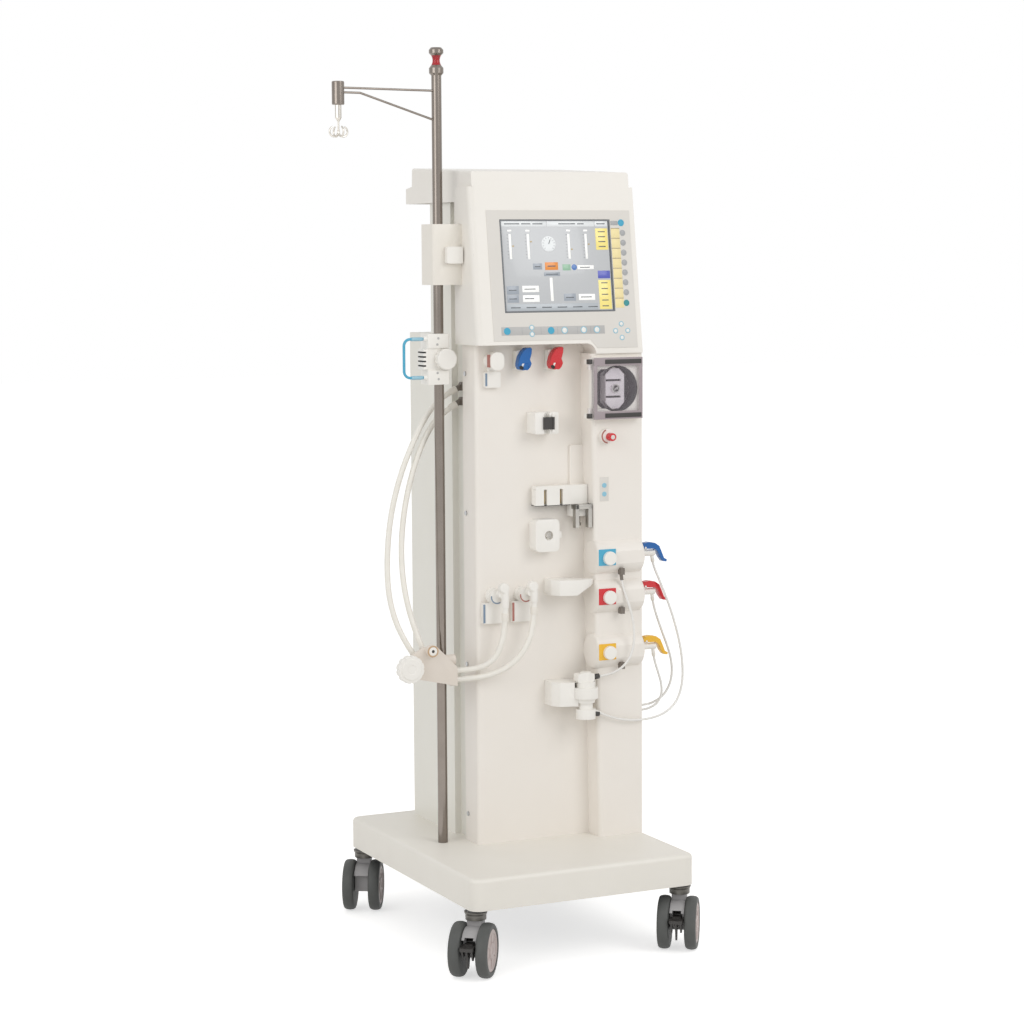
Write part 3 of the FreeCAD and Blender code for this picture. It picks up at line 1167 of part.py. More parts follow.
def port_plate(x, z, width, height, ring_x, ring_z):
    plate = soft_box(x, x + width, FRONT_Y - PORT_DEPTH, FRONT_Y, z, z + height, 3, Y_AXIS)
    return plate.fuse(rod(ring_x, FRONT_Y - PORT_DEPTH, ring_z, Y_AXIS, PORT_RING_RADIUS, PORT_DEPTH))


def front_ports():
    """Parking ports, the pressure port and the round caps of the stations."""
    ports = []
    for x in COUPLING_X:
        ports.append(port_plate(x - 22, COUPLING_Z - 50, PORT_PLATE, 38, x, COUPLING_Z))
    spare = port_plate(SPARE_X - 15, SPARE_Z - 48, 30, 28, SPARE_X, SPARE_Z)
    cap = soft_box(SPARE_X - 13, SPARE_X + 13, FRONT_Y - 30, FRONT_Y - PORT_DEPTH + 1,
                   SPARE_Z - 16, SPARE_Z + 16, 11, Y_AXIS)
    neck = box(SPARE_X - 8, SPARE_X + 8, FRONT_Y - 8, FRONT_Y, SPARE_Z - 24, SPARE_Z - 10)
    ports.append(spare.fuse([cap, neck]))
    ring = rod(PRESSURE_X, COLUMN_Y - 10, PRESSURE_Z, Y_AXIS, 13.5, 10)
    x, z, radius = PRESSURE_SPIGOT
    length = PRESSURE_SPIGOT_LENGTH
    ring = ring.fuse(rod(x, COLUMN_Y - length, z, Y_AXIS, radius, length - 9))
    ports.append(ring)
    for z in STATION_Z:
        cap = rod(STATION_CAP_X, BARREL_FLAT - 8, z, Y_AXIS, STATION_CAP_RADIUS, 8)
        ports.append(pick_fillet(cap, 1.5, lambda mid, edge: mid.y < BARREL_FLAT - 7.9))
    return ports


def pressure_cap():
    x, z, radius = PRESSURE_SPIGOT
    front = COLUMN_Y - PRESSURE_SPIGOT_LENGTH - 4
    cap = rod(x, front, z, Y_AXIS, 7.3, 14 - GAP)
    cap = pick_fillet(cap, 1.5, lambda mid, edge: mid.y < front + 0.01)
    return cap.cut(rod(x, front + 4 - GAP, z, Y_AXIS, radius + RUN, 20))


def coupling(ring_x, points):
    """An elbow connector parked on its port; its hose butts against the spigot."""
    front = FRONT_Y - PORT_DEPTH
    x, y, end_z = points[-1]
    body = rod(ring_x, front - 12, COUPLING_Z, Y_AXIS, 13, 12)
    neck = rod(ring_x + 5, SPIGOT_Y, COUPLING_Z + 6, Y_AXIS, 7.5, front - SPIGOT_Y)
    bend = rod(x, SPIGOT_Y, end_z + 10, Z_AXIS, 7, COUPLING_Z + 4 - end_z)
    spigot = stub(points[::-1], HOSE_DIAMETER / 2, 14)
    knob = rod(x - 3, SPIGOT_Y - 7, COUPLING_Z + 17, Y_AXIS, 9.3, 15)
    knob = pick_fillet(knob, 3, lambda mid, edge: len(edge.Vertexes) == 1)
    return body.fuse([neck, bend, spigot, knob])


# Cartridge arms and heads

def support_arm(low, high, tip_low, reach):
    """An arm that swells out of the cover and rises to a tip at its reach in X."""
    plan = [(37, 0), (72, 0), (82, -16), (reach - 4, -37), (reach, -42), (reach - 8, -48),
            (80, -54), (47, -45), (37, -28)]
    arm = outline_xy([(x, FRONT_Y + y) for x, y in plan], low, high)
    wedge = outline_xz([(76, low - 1), (reach + 1, low - 1), (reach + 1, tip_low)], -120, -40)
    return arm.cut(wedge)


def cartridge_holder():
    """Two arms on the front cover; the lower one carries the closed cartridge heads."""
    high_arm, low_arm = CARTRIDGE_ARMS
    high_height, low_height = CARTRIDGE_ARM_HEIGHTS
    upper = support_arm(high_arm, high_arm + high_height, high_arm + 20, STATION_LEFT - 1)
    lower = support_arm(low_arm, low_arm + low_height, low_arm + 8, CARTRIDGE_X + 25)
    x = CARTRIDGE_X
    y = CARTRIDGE_Y
    lower = lower.cut(rod(x, y, low_arm - 5, Z_AXIS, CARTRIDGE_BODY + GAP, low_height + 10))
    heads = rod(x, y, 428, Z_AXIS, CARTRIDGE_BODY, 38)
    heads = heads.fuse(rod(x, y, CARTRIDGE_FLANGE_Z, Z_AXIS, CARTRIDGE_FLANGE, 20))
    heads = heads.fuse(rod(x, y, 424, Z_AXIS, 10, 60)).fuse(rod(x, y, 398, Z_AXIS, 18, 18))
    heads = heads.fuse(rod(x, y, 414, Z_AXIS, 13, 18))
    heads = heads.fuse(soft_box(x - 20, x + 14, y - 9, y + 9, 466, 482, 4, Y_AXIS))
    for points in (BLUE_TUBE, CARTRIDGE_TUBE):
        heads = heads.fuse(stub(points[::-1], 3.4, 20))
    lower = lower.cut(rod(x, y, CARTRIDGE_FLANGE_Z - GAP, Z_AXIS, CARTRIDGE_FLANGE + GAP, 30))
    return [upper, lower, heads]


# Concentrate stations

def connector(index):
    """Nozzle on the cabinet's side with a tube connector plugged on it."""
    y = NOZZLE_Y[index]
    z = STATION_Z[index]
    tube = (BLUE_TUBE, RED_TUBE, YELLOW_TUBE)[index]
    nozzle = rod(CAB_RIGHT, y, z, X_AXIS, NOZZLE_RADIUS, NOZZLE_LENGTH)
    body = rod(CAB_RIGHT, y, z, X_AXIS, CONNECTOR_RADIUS, TUBE_X + CONNECTOR_END - CAB_RIGHT)
    spigot = stub(tube, STATION_TUBE_STUB, z - tube[0][2])
    ear_x, ear_z = lever_pivot(index)
    ear = box(ear_x - EAR_LEFT, ear_x + EAR_RIGHT, y - STATION_EAR_HALF, y + STATION_EAR_HALF,
              z, ear_z + EAR_ABOVE_PIN)
    pin = rod(ear_x, y - LEVER_HALF - 1, ear_z, Y_AXIS, STATION_PIN, 2 * LEVER_HALF + 2)
    return nozzle.fuse([body, spigot, ear, pin])


def lever_pivot(index):
    return CAB_RIGHT + LEVER_PIVOT_X, STATION_Z[index] + CONNECTOR_RADIUS + LEVER_PIVOT_RISE


def station_lever(index):
    """A saddle-shaped lever with a tail that hangs beside the tube."""
    x, z = lever_pivot(index)
    y = NOZZLE_Y[index]
    outline = [(x + dx, z + dz) for dx, dz in STATION_LEVER]
    lever = outline_xz(outline, y - LEVER_HALF, y + LEVER_HALF)
    slot_half = STATION_EAR_HALF + GAP
    slot = box(x - 12, x + 6, y - slot_half, y + slot_half, z - 12, z + 4.5)
    return lever.cut(slot).cut(rod(x, y - LEVER_HALF - 2, z, Y_AXIS, STATION_PIN + RUN,
                                   2 * LEVER_HALF + 4))


# Ports for hoses, and what is inside

def hose_ports():
    """Barbs in the left groove for the two hoses and glands on the right for two tubes."""
    floor_x = CAB_LEFT + GROOVE_DEPTH
    ports = []
    for points in (OUTER_HOSE, INNER_HOSE):
        x, y, z = points[0]
        barb = stub(points, HOSE_DIAMETER / 2, 11)
        ports.append(barb.fuse(rod(floor_x - 5, y, z + 5, X_AXIS, HOSE_DIAMETER / 2 + 2.5, 5)))
    for points in (RED_TUBE, YELLOW_TUBE):
        x, y, z = points[-1]
        gland = rod(CAB_RIGHT, y, z, X_AXIS, 5.5, 4)
        ports.append(gland.fuse(stub(points[::-1], STATION_TUBE_STUB, x - CAB_RIGHT - 1)))
    for z in STATION_Z[1:]:
        ports.append(barrel_port(z))
    ports.append(barrel_port(STATION_Z[0]).fuse(stub(CARTRIDGE_TUBE, STATION_TUBE_STUB, 12)))
    return ports


def barrel_port(z):
    """A small block under a barrel where a tube leaves it."""
    y = CARTRIDGE_TUBE[0][1]
    block = box(BARREL_PORT_X - 4, BARREL_PORT_X + 4, y - 4, y + 8, z - 32, z - 20)
    barrel = rod(STATION_LEFT, BARREL_Y, z, X_AXIS, BARREL_RADIUS, CAB_RIGHT - STATION_LEFT)
    return block.cut(barrel)


def hydraulics_block():
    low = SHELF_Z[0] + POST
    left = POST_LEFT_X + POST + 5
    right = POST_RIGHT_X - 5
    block = soft_box(left, right, POST_FRONT_Y + 4, UNIT_BACK, low, low + HYDRAULICS_HEIGHT,
                     8, Z_AXIS)
    for x in WATER_X:
        block = block.fuse(rod(x, UNIT_BACK - 1, WATER_Z, Y_AXIS, WATER_RADIUS - 1.5,
                               REAR_Y - UNIT_BACK + 2))
        block = block.fuse(rod(x, REAR_Y, WATER_Z, Y_AXIS, WATER_RADIUS, WATER_LENGTH))
    return block


def power_supply():
    low = SHELF_Z[1] + POST
    left = POST_LEFT_X + POST + 5
    right = POST_RIGHT_X - 5
    unit = box(left, right, POST_FRONT_Y + 4, UNIT_BACK, low, low + SUPPLY_HEIGHT)
    x, z, width, height = INLET
    inlet = box(x - width / 2, x + width / 2, UNIT_BACK - 1, REAR_Y + 3, z, z + height)
    return unit.fuse(inlet)


save("base_cover", base_cover())
save("chassis", chassis())
save_castors()
save("front_cover", *front_cover())
save("side_panels", *side_panels())
save("rear_cover", *rear_cover())
save("top_cover", top_cover())
save("head_housing", head_housing())
save("panel_screws", *panel_screws())
save("screen", screen())
save("keypad_overlay", keypad_overlay())
save("iv_pole", *iv_pole())
save("lamp_lens", lamp_lens())
save("hook", hook())
save("pole_bracket", pole_bracket())
save("bracket_latch", bracket_latch())
save("holder_body", holder_body())
save("holder_knob", holder_knob())
save("holder_bail", holder_bail())
save("hose_clamp_body", hose_clamp_body())
save("hose_clamp_knob", hose_clamp_knob())
save("pump_housing", pump_housing())
save("pump_door", pump_door())
save("pump_rotor", pump_rotor())
save("pump_roller_a", pump_roller(1))
save("pump_roller_b", pump_roller(-1))
save("pump_motor", pump_motor())
save("line_clamp_bases", *[line_clamp_base(x) for x in LINE_CLAMP_X], clip_module())
for colour, lever_x in zip(("blue", "red"), LINE_CLAMP_X):
    save("line_clamp_lever_" + colour, line_clamp_lever(lever_x))
save("air_detector", air_detector())
save("detector_door", detector_door())
save("sensor_bar", *sensor_bar())
save("clamp_plunger", clamp_plunger())
save("front_ports", *front_ports())
save("pressure_cap", pressure_cap())
save("couplings", coupling(COUPLING_X[0], INNER_HOSE), coupling(COUPLING_X[1], OUTER_HOSE))
save("cartridge_holder", *cartridge_holder())
save("concentrate_connectors", *[connector(index) for index in range(3)])
for index, colour in enumerate(("blue", "red", "yellow")):
    save("station_lever_" + colour, station_lever(index))
save("hose_ports", *hose_ports())
save("hydraulics_block", hydraulics_block())
save("power_supply", power_supply())
for name, points, diameter in (("outer_hose", OUTER_HOSE, HOSE_DIAMETER),
                               ("inner_hose", INNER_HOSE, HOSE_DIAMETER),
                               ("blue_tube", BLUE_TUBE, TUBE_DIAMETER),
                               ("red_tube", RED_TUBE, TUBE_DIAMETER),
                               ("yellow_tube", YELLOW_TUBE, TUBE_DIAMETER),
                               ("cartridge_tube", CARTRIDGE_TUBE, TUBE_DIAMETER)):
    save(name, bent_tube(name, points, diameter))
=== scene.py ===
"""Dialysis machine: finishes, small detail, cords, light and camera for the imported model.

Places and sizes are written in millimetres, as in the part's source, and mm() turns them to metres.
"""
import bmesh
import bpy
import math
from mathutils import Matrix, Vector


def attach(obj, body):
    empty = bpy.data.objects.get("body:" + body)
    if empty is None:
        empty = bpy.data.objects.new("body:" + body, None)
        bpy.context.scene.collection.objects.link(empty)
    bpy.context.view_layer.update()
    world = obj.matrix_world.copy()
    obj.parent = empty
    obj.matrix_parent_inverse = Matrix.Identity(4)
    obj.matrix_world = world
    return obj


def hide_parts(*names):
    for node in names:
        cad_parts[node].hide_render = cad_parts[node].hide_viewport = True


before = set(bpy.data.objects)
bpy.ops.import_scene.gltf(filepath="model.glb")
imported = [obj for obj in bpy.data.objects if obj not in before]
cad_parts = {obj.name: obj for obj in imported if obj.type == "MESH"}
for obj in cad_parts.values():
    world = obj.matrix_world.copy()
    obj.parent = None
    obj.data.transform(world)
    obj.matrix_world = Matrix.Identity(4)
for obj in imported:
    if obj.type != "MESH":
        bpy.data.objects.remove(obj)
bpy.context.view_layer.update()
bpy.ops.object.select_all(action="DESELECT")
scene = bpy.context.scene
scene.view_settings.view_transform = "Standard"


def mm(*values):
    """Millimetres to metres: one number, or a point of three."""
    return values[0] / 1000 if len(values) == 1 else Vector(values) / 1000


def linear(hex_colour):
    """An sRGB hex colour as the linear colour that a shader socket takes."""
    parts = [int(hex_colour[i:i + 2], 16) / 255 for i in (1, 3, 5)]
    return [c / 12.92 if c <= 0.04045 else ((c + 0.055) / 1.055) ** 2.4 for c in parts] + [1]


def add(tree, kind, inputs, **settings):
    """Add one shader node with its settings, and set or link its inputs."""
    made = tree.nodes.new(kind)
    for name, value in settings.items():
        setattr(made, name, value)
    for name, value in inputs.items():
        if isinstance(value, bpy.types.NodeSocket):
            tree.links.new(value, made.inputs[name])
        else:
            made.inputs[name].default_value = value
    return made


# Camera, at the place and angle from which the picture was taken

CAMERA_PLACE = (-1998.0, -4191.0, 1250.1)
CAMERA_YAW = 25.525
CAMERA_PITCH = -5.873
CAMERA_ROLL = -0.33
CAMERA_LENS = 89.54


def make_camera():
    yaw, pitch, roll = (math.radians(a) for a in (CAMERA_YAW, CAMERA_PITCH, CAMERA_ROLL))
    ahead = Vector((math.sin(yaw) * math.cos(pitch), math.cos(yaw) * math.cos(pitch),
                    math.sin(pitch)))
    level = Vector((math.cos(yaw), -math.sin(yaw), 0))
    upward = level.cross(ahead)
    right = level * math.cos(roll) + upward * math.sin(roll)
    top = upward * math.cos(roll) - level * math.sin(roll)
    data = bpy.data.cameras.new("camera")
    data.lens = CAMERA_LENS
    data.sensor_width = 36
    data.shift_x = -0.0046
    data.shift_y = 0.0007
    camera = bpy.data.objects.new("camera", data)
    scene.collection.objects.link(camera)
    turn = Matrix((right, top, -ahead)).transposed().to_4x4()
    camera.matrix_world = Matrix.Translation(mm(*CAMERA_PLACE)) @ turn
    scene.camera = camera


make_camera()


# Finishes

def surface(name, light, dark, grain, depth, rough, spread=0.06, patch=70.0, stretch=(1, 1, 1),
            **sockets):
    """A finish with slow colour patches and a fine grain that shows in its relief and gloss.

    grain and patch are the size of one grain and one patch, and depth is the grain's relief,
    all in millimetres; stretch squeezes the grain along an axis.
    """
    material = bpy.data.materials.new(name)
    material.use_nodes = True
    tree = material.node_tree
    shader = tree.nodes["Principled BSDF"]
    place = add(tree, "ShaderNodeTexCoord", {}).outputs["Object"]
    lie = add(tree, "ShaderNodeMapping", {"Vector": place, "Scale": stretch}).outputs[0]
    patches = add(tree, "ShaderNodeTexNoise", {"Vector": place, "Scale": 1000 / patch,
                                               "Detail": 3.0}).outputs[0]
    grains = add(tree, "ShaderNodeTexNoise", {"Vector": lie, "Scale": 1000 / grain,
                                              "Detail": 2.0}).outputs[0]
    tone = add(tree, "ShaderNodeMix", {0: patches, 6: linear(light), 7: linear(dark)},
               data_type="RGBA").outputs[2]
    gloss = add(tree, "ShaderNodeMapRange", {"Value": grains, "To Min": rough - spread,
                                             "To Max": rough + spread}).outputs[0]
    relief = add(tree, "ShaderNodeBump", {"Height": grains, "Distance": depth / 1000,
                                          "Strength": 1.0}).outputs[0]
    tree.links.new(tone, shader.inputs["Base Color"])
    tree.links.new(gloss, shader.inputs["Roughness"])
    tree.links.new(relief, shader.inputs["Normal"])
    for socket, value in sockets.items():
        shader.inputs[socket.replace("_", " ")].default_value = value
    return material


LOOKS = {}


def look(key, slot, material):
    """Keep a finish under a short key, with the record's slot that it belongs to."""
    LOOKS[key] = (material, slot)


# Powder coat on folded steel: an eggshell sheen broken by a shallow orange peel.
look("cover", "cover_cream",
     surface("powder_coated_cover", "#efeae3", "#ece6de", 1.6, 0.05, 0.42))
look("panel", "panel_cream",
     surface("powder_coated_panel", "#e9e7e0", "#e5e3da", 1.6, 0.05, 0.45))
# Painted polyurethane foam moulding: softer than the steel, almost no grain.
look("head", "head_cream",
     surface("painted_foam_housing", "#efebe5", "#ebe7df", 2.2, 0.04, 0.4))
look("base", "base_cream",
     surface("painted_foam_base", "#ece8e0", "#e7e3da", 2.2, 0.05, 0.46))
# Painted steel weldment inside and under the machine, darker and duller.
look("frame", "frame_steel", surface("painted_weldment", "#8c8e90", "#7d7f82", 1.2, 0.06, 0.55))
# Polished stainless tube: long vertical draw lines stretch its reflections.
look("pole", "pole_steel",
     surface("drawn_stainless_tube", "#8f8780", "#7d756e", 0.5, 0.004, 0.16, 0.05, 40,
             (1, 1, 0.02), Metallic=1.0))
# Turned and polished steel caps and hooks, nearly a mirror.
look("bright", "pole_steel",
     surface("polished_steel", "#d6d2cb", "#cac5bd", 0.4, 0.003, 0.13, 0.04, 30, Metallic=1.0))
# Milled steel with the cutter's fine lines.
look("steel", "steel",
     surface("milled_steel", "#b9b6b0", "#a19e99", 0.5, 0.012, 0.3, 0.06, 12, (1, 0.1, 1),
             Metallic=1.0))
# Zinc plate on screw heads: grey, slightly blotched.
look("zinc", "zinc_screw",
     surface("zinc_plate", "#c3c4c4", "#a8aaac", 0.6, 0.01, 0.32, 0.08, 3, Metallic=1.0))
# Red polycarbonate of the signal lamp, lit a little through its wall.
look("lamp", "lamp_red",
     surface("red_polycarbonate", "#d3202c", "#b0121f", 1.5, 0.01, 0.16, 0.03, 12,
             Transmission_Weight=0.35))
# Spark-eroded ABS mouldings: an even matt grain.
look("white", "white_plastic",
     surface("white_abs", "#f3f0eb", "#edeae3", 0.7, 0.02, 0.38))
look("cream", "white_plastic",
     surface("cream_abs", "#ede8e0", "#e6e1d7", 0.7, 0.02, 0.4))
look("beige", "white_plastic",
     surface("beige_abs", "#e3dad0", "#dcd2c6", 0.7, 0.02, 0.4))
look("fitting", "dark_plastic",
     surface("brown_grey_fitting", "#7d746c", "#6c645d", 0.7, 0.02, 0.42))
look("dark", "dark_plastic",
     surface("dark_abs", "#3a3735", "#2f2d2c", 0.7, 0.02, 0.4))
# Near black and matt: the black face of the mains inlet, and dark sheets painted as the shade in
# slots, holes and mouths.
look("black", "dark_plastic",
     surface("black_face_and_painted_hole_shade", "#1c1a19", "#151312", 0.9, 0.02, 0.6))
look("cyan", "cyan_plastic",
     surface("cyan_moulding", "#52b0d0", "#46a4c6", 0.6, 0.01, 0.3))
look("blue", "blue_plastic",
     surface("blue_moulding", "#1667b0", "#0f5aa2", 0.6, 0.01, 0.25))
look("red", "red_plastic",
     surface("red_moulding", "#d8333a", "#c9262e", 0.6, 0.01, 0.27))
look("yellow", "yellow_plastic",
     surface("yellow_moulding", "#f2bf3c", "#eab32c", 0.6, 0.01, 0.27))
# Grey-blue and brick-red printed or moulded marks of the ports.
look("slate", "grey_plastic",
     surface("slate_blue_moulding", "#7f93a8", "#73879c", 0.6, 0.01, 0.35))
look("brick", "red_plastic",
     surface("brick_red_moulding", "#b3746a", "#a5665d", 0.6, 0.01, 0.35))
look("tan", "grey_plastic",
     surface("tan_moulding", "#c9ab8a", "#bd9e7c", 0.6, 0.01, 0.35))
look("sky", "cyan_plastic",
     surface("pale_blue_sleeve", "#9cc9da", "#8fbdd0", 0.6, 0.01, 0.32))
# Tinted acrylic sheet: clear, with a mauve cast and crisp reflections.
look("door", "door_clear",
     surface("tinted_acrylic", "#cdc2cb", "#c5b9c3", 3.0, 0.004, 0.08, 0.02, 30, Alpha=0.1))
# The door's opaque border: the same acrylic painted on its back, mauve-grey.
look("border", "door_clear",
     surface("painted_acrylic_border", "#a89c9f", "#9b8f93", 1.5, 0.006, 0.22, 0.04, 25))
# Hard rubber lining of the raceway: grey-green and matt.
look("lining", "dark_plastic",
     surface("raceway_rubber", "#565c58", "#484e4a", 1.0, 0.03, 0.55, 0.06, 10))
# Lilac anodised aluminium: metal colour under a satin bead-blasted skin.
look("lilac", "rotor_lilac",
     surface("lilac_anodised_rotor", "#e4dfe3", "#d8d1d8", 0.5, 0.015, 0.33, 0.05, 20,
             Metallic=0.2))
# Nylon castor parts: matt with a soft mould grain.
look("castor", "castor_grey",
     surface("grey_nylon_hood", "#aaa8a8", "#9f9d9d", 0.9, 0.04, 0.5))
# Zinc-plated swivel collar gone dull: dark, warm and slightly blotched.
look("collar", "castor_grey",
     surface("dull_zinc_collar", "#7d7a75", "#6b6862", 0.8, 0.03, 0.42, 0.08, 8, Metallic=0.5))
look("hub", "castor_grey",
     surface("pale_wheel_hub", "#c2b4b0", "#b6a8a4", 0.9, 0.03, 0.45))
# Polyurethane tread, scuffed by the floor.
look("tread", "wheel_tread",
     surface("polyurethane_tread", "#565755", "#484a48", 1.3, 0.08, 0.58, 0.1, 18))
# Silicone hose: milky, light passes into its wall.
look("hose", "hose_silicone",
     surface("milky_silicone", "#f0ede6", "#e6e2d9", 2.0, 0.03, 0.3, 0.06, 14,
             Subsurface_Weight=0.3, Subsurface_Scale=0.004, Subsurface_Radius=(1.0, 1.0, 1.0)))
# Soft PVC tube: greyish and shiny.
look("tube", "tube_clear",
     surface("clear_pvc_tube", "#eceae6", "#e3e1dd", 2.0, 0.01, 0.18, 0.04, 10,
             Subsurface_Weight=0.2, Subsurface_Scale=0.002, Subsurface_Radius=(1.0, 1.0, 1.0)))
# Textured polyester film over the keys.
look("film", "keypad_film",
     surface("polyester_film", "#dedad4", "#d8d4cd", 0.5, 0.012, 0.44))
look("film_grey", "keypad_film",
     surface("grey_print_film", "#bdbcba", "#b5b4b2", 0.5, 0.012, 0.44))


# What stays as the CAD drew it

KEPT = {
    "base_cover": "base", "chassis": "frame", "front_cover": "cover", "side_panels": "panel",
    "rear_cover": "panel", "top_cover": "head", "head_housing": "head", "panel_screws": "zinc",
    "screen": "dark", "keypad_overlay": "film", "iv_pole": "pole", "lamp_lens": "lamp",
    "hook": "bright", "pole_bracket": "cream", "bracket_latch": "white", "holder_body": "white",
    "holder_knob": "white", "holder_bail": "cyan", "hose_clamp_body": "beige",
    "hose_clamp_knob": "white", "pump_housing": "white", "pump_door": "door",
    "pump_rotor": "lilac", "pump_roller_a": "steel", "pump_roller_b": "steel",
    "pump_motor": "frame", "line_clamp_bases": "white", "air_detector": "white",
    "detector_door": "dark", "sensor_bar": "white", "clamp_plunger": "steel",
    "front_ports": "white", "pressure_cap": "red", "couplings": "white",
    "cartridge_holder": "white", "concentrate_connectors": "white", "hose_ports": "fitting",
    "hydraulics_block": "frame", "power_supply": "dark", "castor_hood_fl": "castor",
    "castor_hood_fr": "castor", "castor_hood_rl": "castor", "castor_hood_rr": "castor",
    "brake_pedal_fl": "dark", "brake_pedal_fr": "dark", "line_clamp_lever_blue": "blue",
    "line_clamp_lever_red": "red", "station_lever_blue": "blue", "station_lever_red": "red",
    "station_lever_yellow": "yellow", "castor_wheels_fl": "tread", "castor_wheels_fr": "tread",
    "castor_wheels_rl": "tread", "castor_wheels_rr": "tread",
}
for node_name, key in KEPT.items():
    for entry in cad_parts[node_name].material_slots:
        entry.material = LOOKS[key][0]


# Ways of making a piece

def settle(place, edge, steps=3):
    """Put the new piece in its place, fix that in its mesh, round its edges and smooth it."""
    piece = bpy.context.object
    piece.matrix_world = place
    bpy.ops.object.transform_apply(location=True, rotation=True, scale=True)
    if edge:
        rounding = piece.modifiers.new("edges", "BEVEL")
        rounding.width = mm(edge)
        rounding.segments = steps
        rounding.limit_method = "ANGLE"
        bpy.ops.object.modifier_apply(modifier="edges")
    bpy.ops.object.shade_smooth_by_angle(angle=math.radians(35))
    piece.select_set(False)
    return piece


def block(low, high, edge=1.0, place=Matrix(), steps=3):
    """A block between two corners, with its edges rounded."""
    bpy.ops.mesh.primitive_cube_add(size=1)
    middle = Matrix.Translation(mm(*((Vector(high) + Vector(low)) / 2)))
    size = mm(*(Vector(high) - Vector(low)))
    return settle(place @ middle @ Matrix.Diagonal((*size, 1)), edge, steps)


def raised(rings, place=Matrix(), edge=0.0, sides=48):
    """A round form drawn up ring by ring about its own Z: (radius, height) of each ring."""
    radius, height = rings[0]
    foot = Matrix.Translation(mm(0, 0, height))
    bpy.ops.mesh.primitive_circle_add(vertices=sides, radius=mm(radius), fill_type="NGON")
    bpy.ops.object.mode_set(mode="EDIT")
    for wider, higher in rings[1:]:
        bpy.ops.mesh.extrude_region_move(
            TRANSFORM_OT_translate={"value": (0, 0, mm(higher - height))})
        bpy.ops.transform.resize(value=(wider / radius, wider / radius, 1))
        radius, height = wider, higher
    bpy.ops.mesh.select_all(action="SELECT")
    bpy.ops.mesh.normals_make_consistent(inside=False)
    bpy.ops.object.mode_set(mode="OBJECT")
    return settle(place @ foot, edge)


def cut_out(points, thick, edge, place=Matrix(), corners="AUTO"):
    """A flat shape with rounded edges, from its outline in X and Z; thick along Y."""
    data = bpy.data.curves.new("outline", "CURVE")
    data.dimensions = "2D"
    data.fill_mode = "BOTH"
    data.extrude = mm(thick / 2 - edge)
    data.bevel_depth = mm(edge)
    data.bevel_resolution = 2
    data.offset = -mm(edge)
    data.resolution_u = 8
    spline = data.splines.new("BEZIER")
    spline.bezier_points.add(len(points) - 1)
    for knot, (x, z) in zip(spline.bezier_points, points):
        knot.co = mm(x, z, 0)
        knot.handle_left_type = knot.handle_right_type = corners
    spline.use_cyclic_u = True
    piece = bpy.data.objects.new("outline", data)
    scene.collection.objects.link(piece)
    piece.select_set(True)
    bpy.context.view_layer.objects.active = piece
    bpy.ops.object.convert(target="MESH")
    bpy.ops.object.mode_set(mode="EDIT")
    bpy.ops.mesh.select_all(action="SELECT")
    bpy.ops.mesh.remove_doubles(threshold=1e-6)
    bpy.ops.mesh.normals_make_consistent(inside=False)
    bpy.ops.object.mode_set(mode="OBJECT")
    return settle(place @ Matrix.Rotation(math.radians(90), 4, "X"), 0)


def publish(name, body, key, parts, stands_for=()):
    """Join shapes into one named piece with its finish, riding on a body."""
    for part in parts:
        part.select_set(True)
    bpy.context.view_layer.objects.active = parts[0]
    if len(parts) > 1:
        bpy.ops.object.join()
    piece = bpy.context.object
    piece.name = piece.data.name = name
    piece.data.materials.clear()
    piece.data.materials.append(LOOKS[key][0])
    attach(piece, body)
    if stands_for:
        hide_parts(*stands_for)
    piece.select_set(False)
    return piece


def softened(node_name, body, key, width):
    """A copy of a CAD piece with its hard edges rounded, standing for it."""
    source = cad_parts[node_name]
    piece = bpy.data.objects.new("soft_" + node_name, source.data.copy())
    piece.data.transform(source.matrix_world)
    scene.collection.objects.link(piece)
    piece.select_set(True)
    bpy.context.view_layer.objects.active = piece
    bpy.ops.object.mode_set(mode="EDIT")
    bpy.ops.mesh.select_all(action="SELECT")
    bpy.ops.mesh.remove_doubles(threshold=1e-6)
    bpy.ops.mesh.dissolve_limited(angle_limit=math.radians(0.5))
    bpy.ops.object.mode_set(mode="OBJECT")
    settle(Matrix(), width)
    return publish("soft_" + node_name, body, key, [piece], [node_name])


def band(x, y, z, inner, outer, start, end, thick, edge=0.2):
    """An arc-shaped strip that faces the user, from one angle to another in degrees."""
    points = []
    steps = 14
    for radius, sweep in ((outer, range(steps + 1)), (inner, range(steps, -1, -1))):
        for step in sweep:
            turn = math.radians(start + (end - start) * step / steps)
            points.append((radius * math.cos(turn), radius * math.sin(turn)))
    return cut_out(points, thick, edge, Matrix.Translation(mm(x, y, z)), "VECTOR")


def sleeve(rings, start, towards, sides=32):
    """A round form drawn up from a point towards another, both in millimetres."""
    ahead = Vector(towards) - Vector(start)
    place = Matrix.Translation(mm(*start)) @ ahead.to_track_quat("Z", "Y").to_matrix().to_4x4()
    return raised(rings, place, 0, sides)


def facing(x, y, z):
    """A place at which a raised form's own Z points at the user, along -Y."""
    return Matrix.Translation(mm(x, y, z)) @ Matrix.Rotation(math.radians(90), 4, "X")


# Cords: the six hoses and tubes, on the routes of the part's source

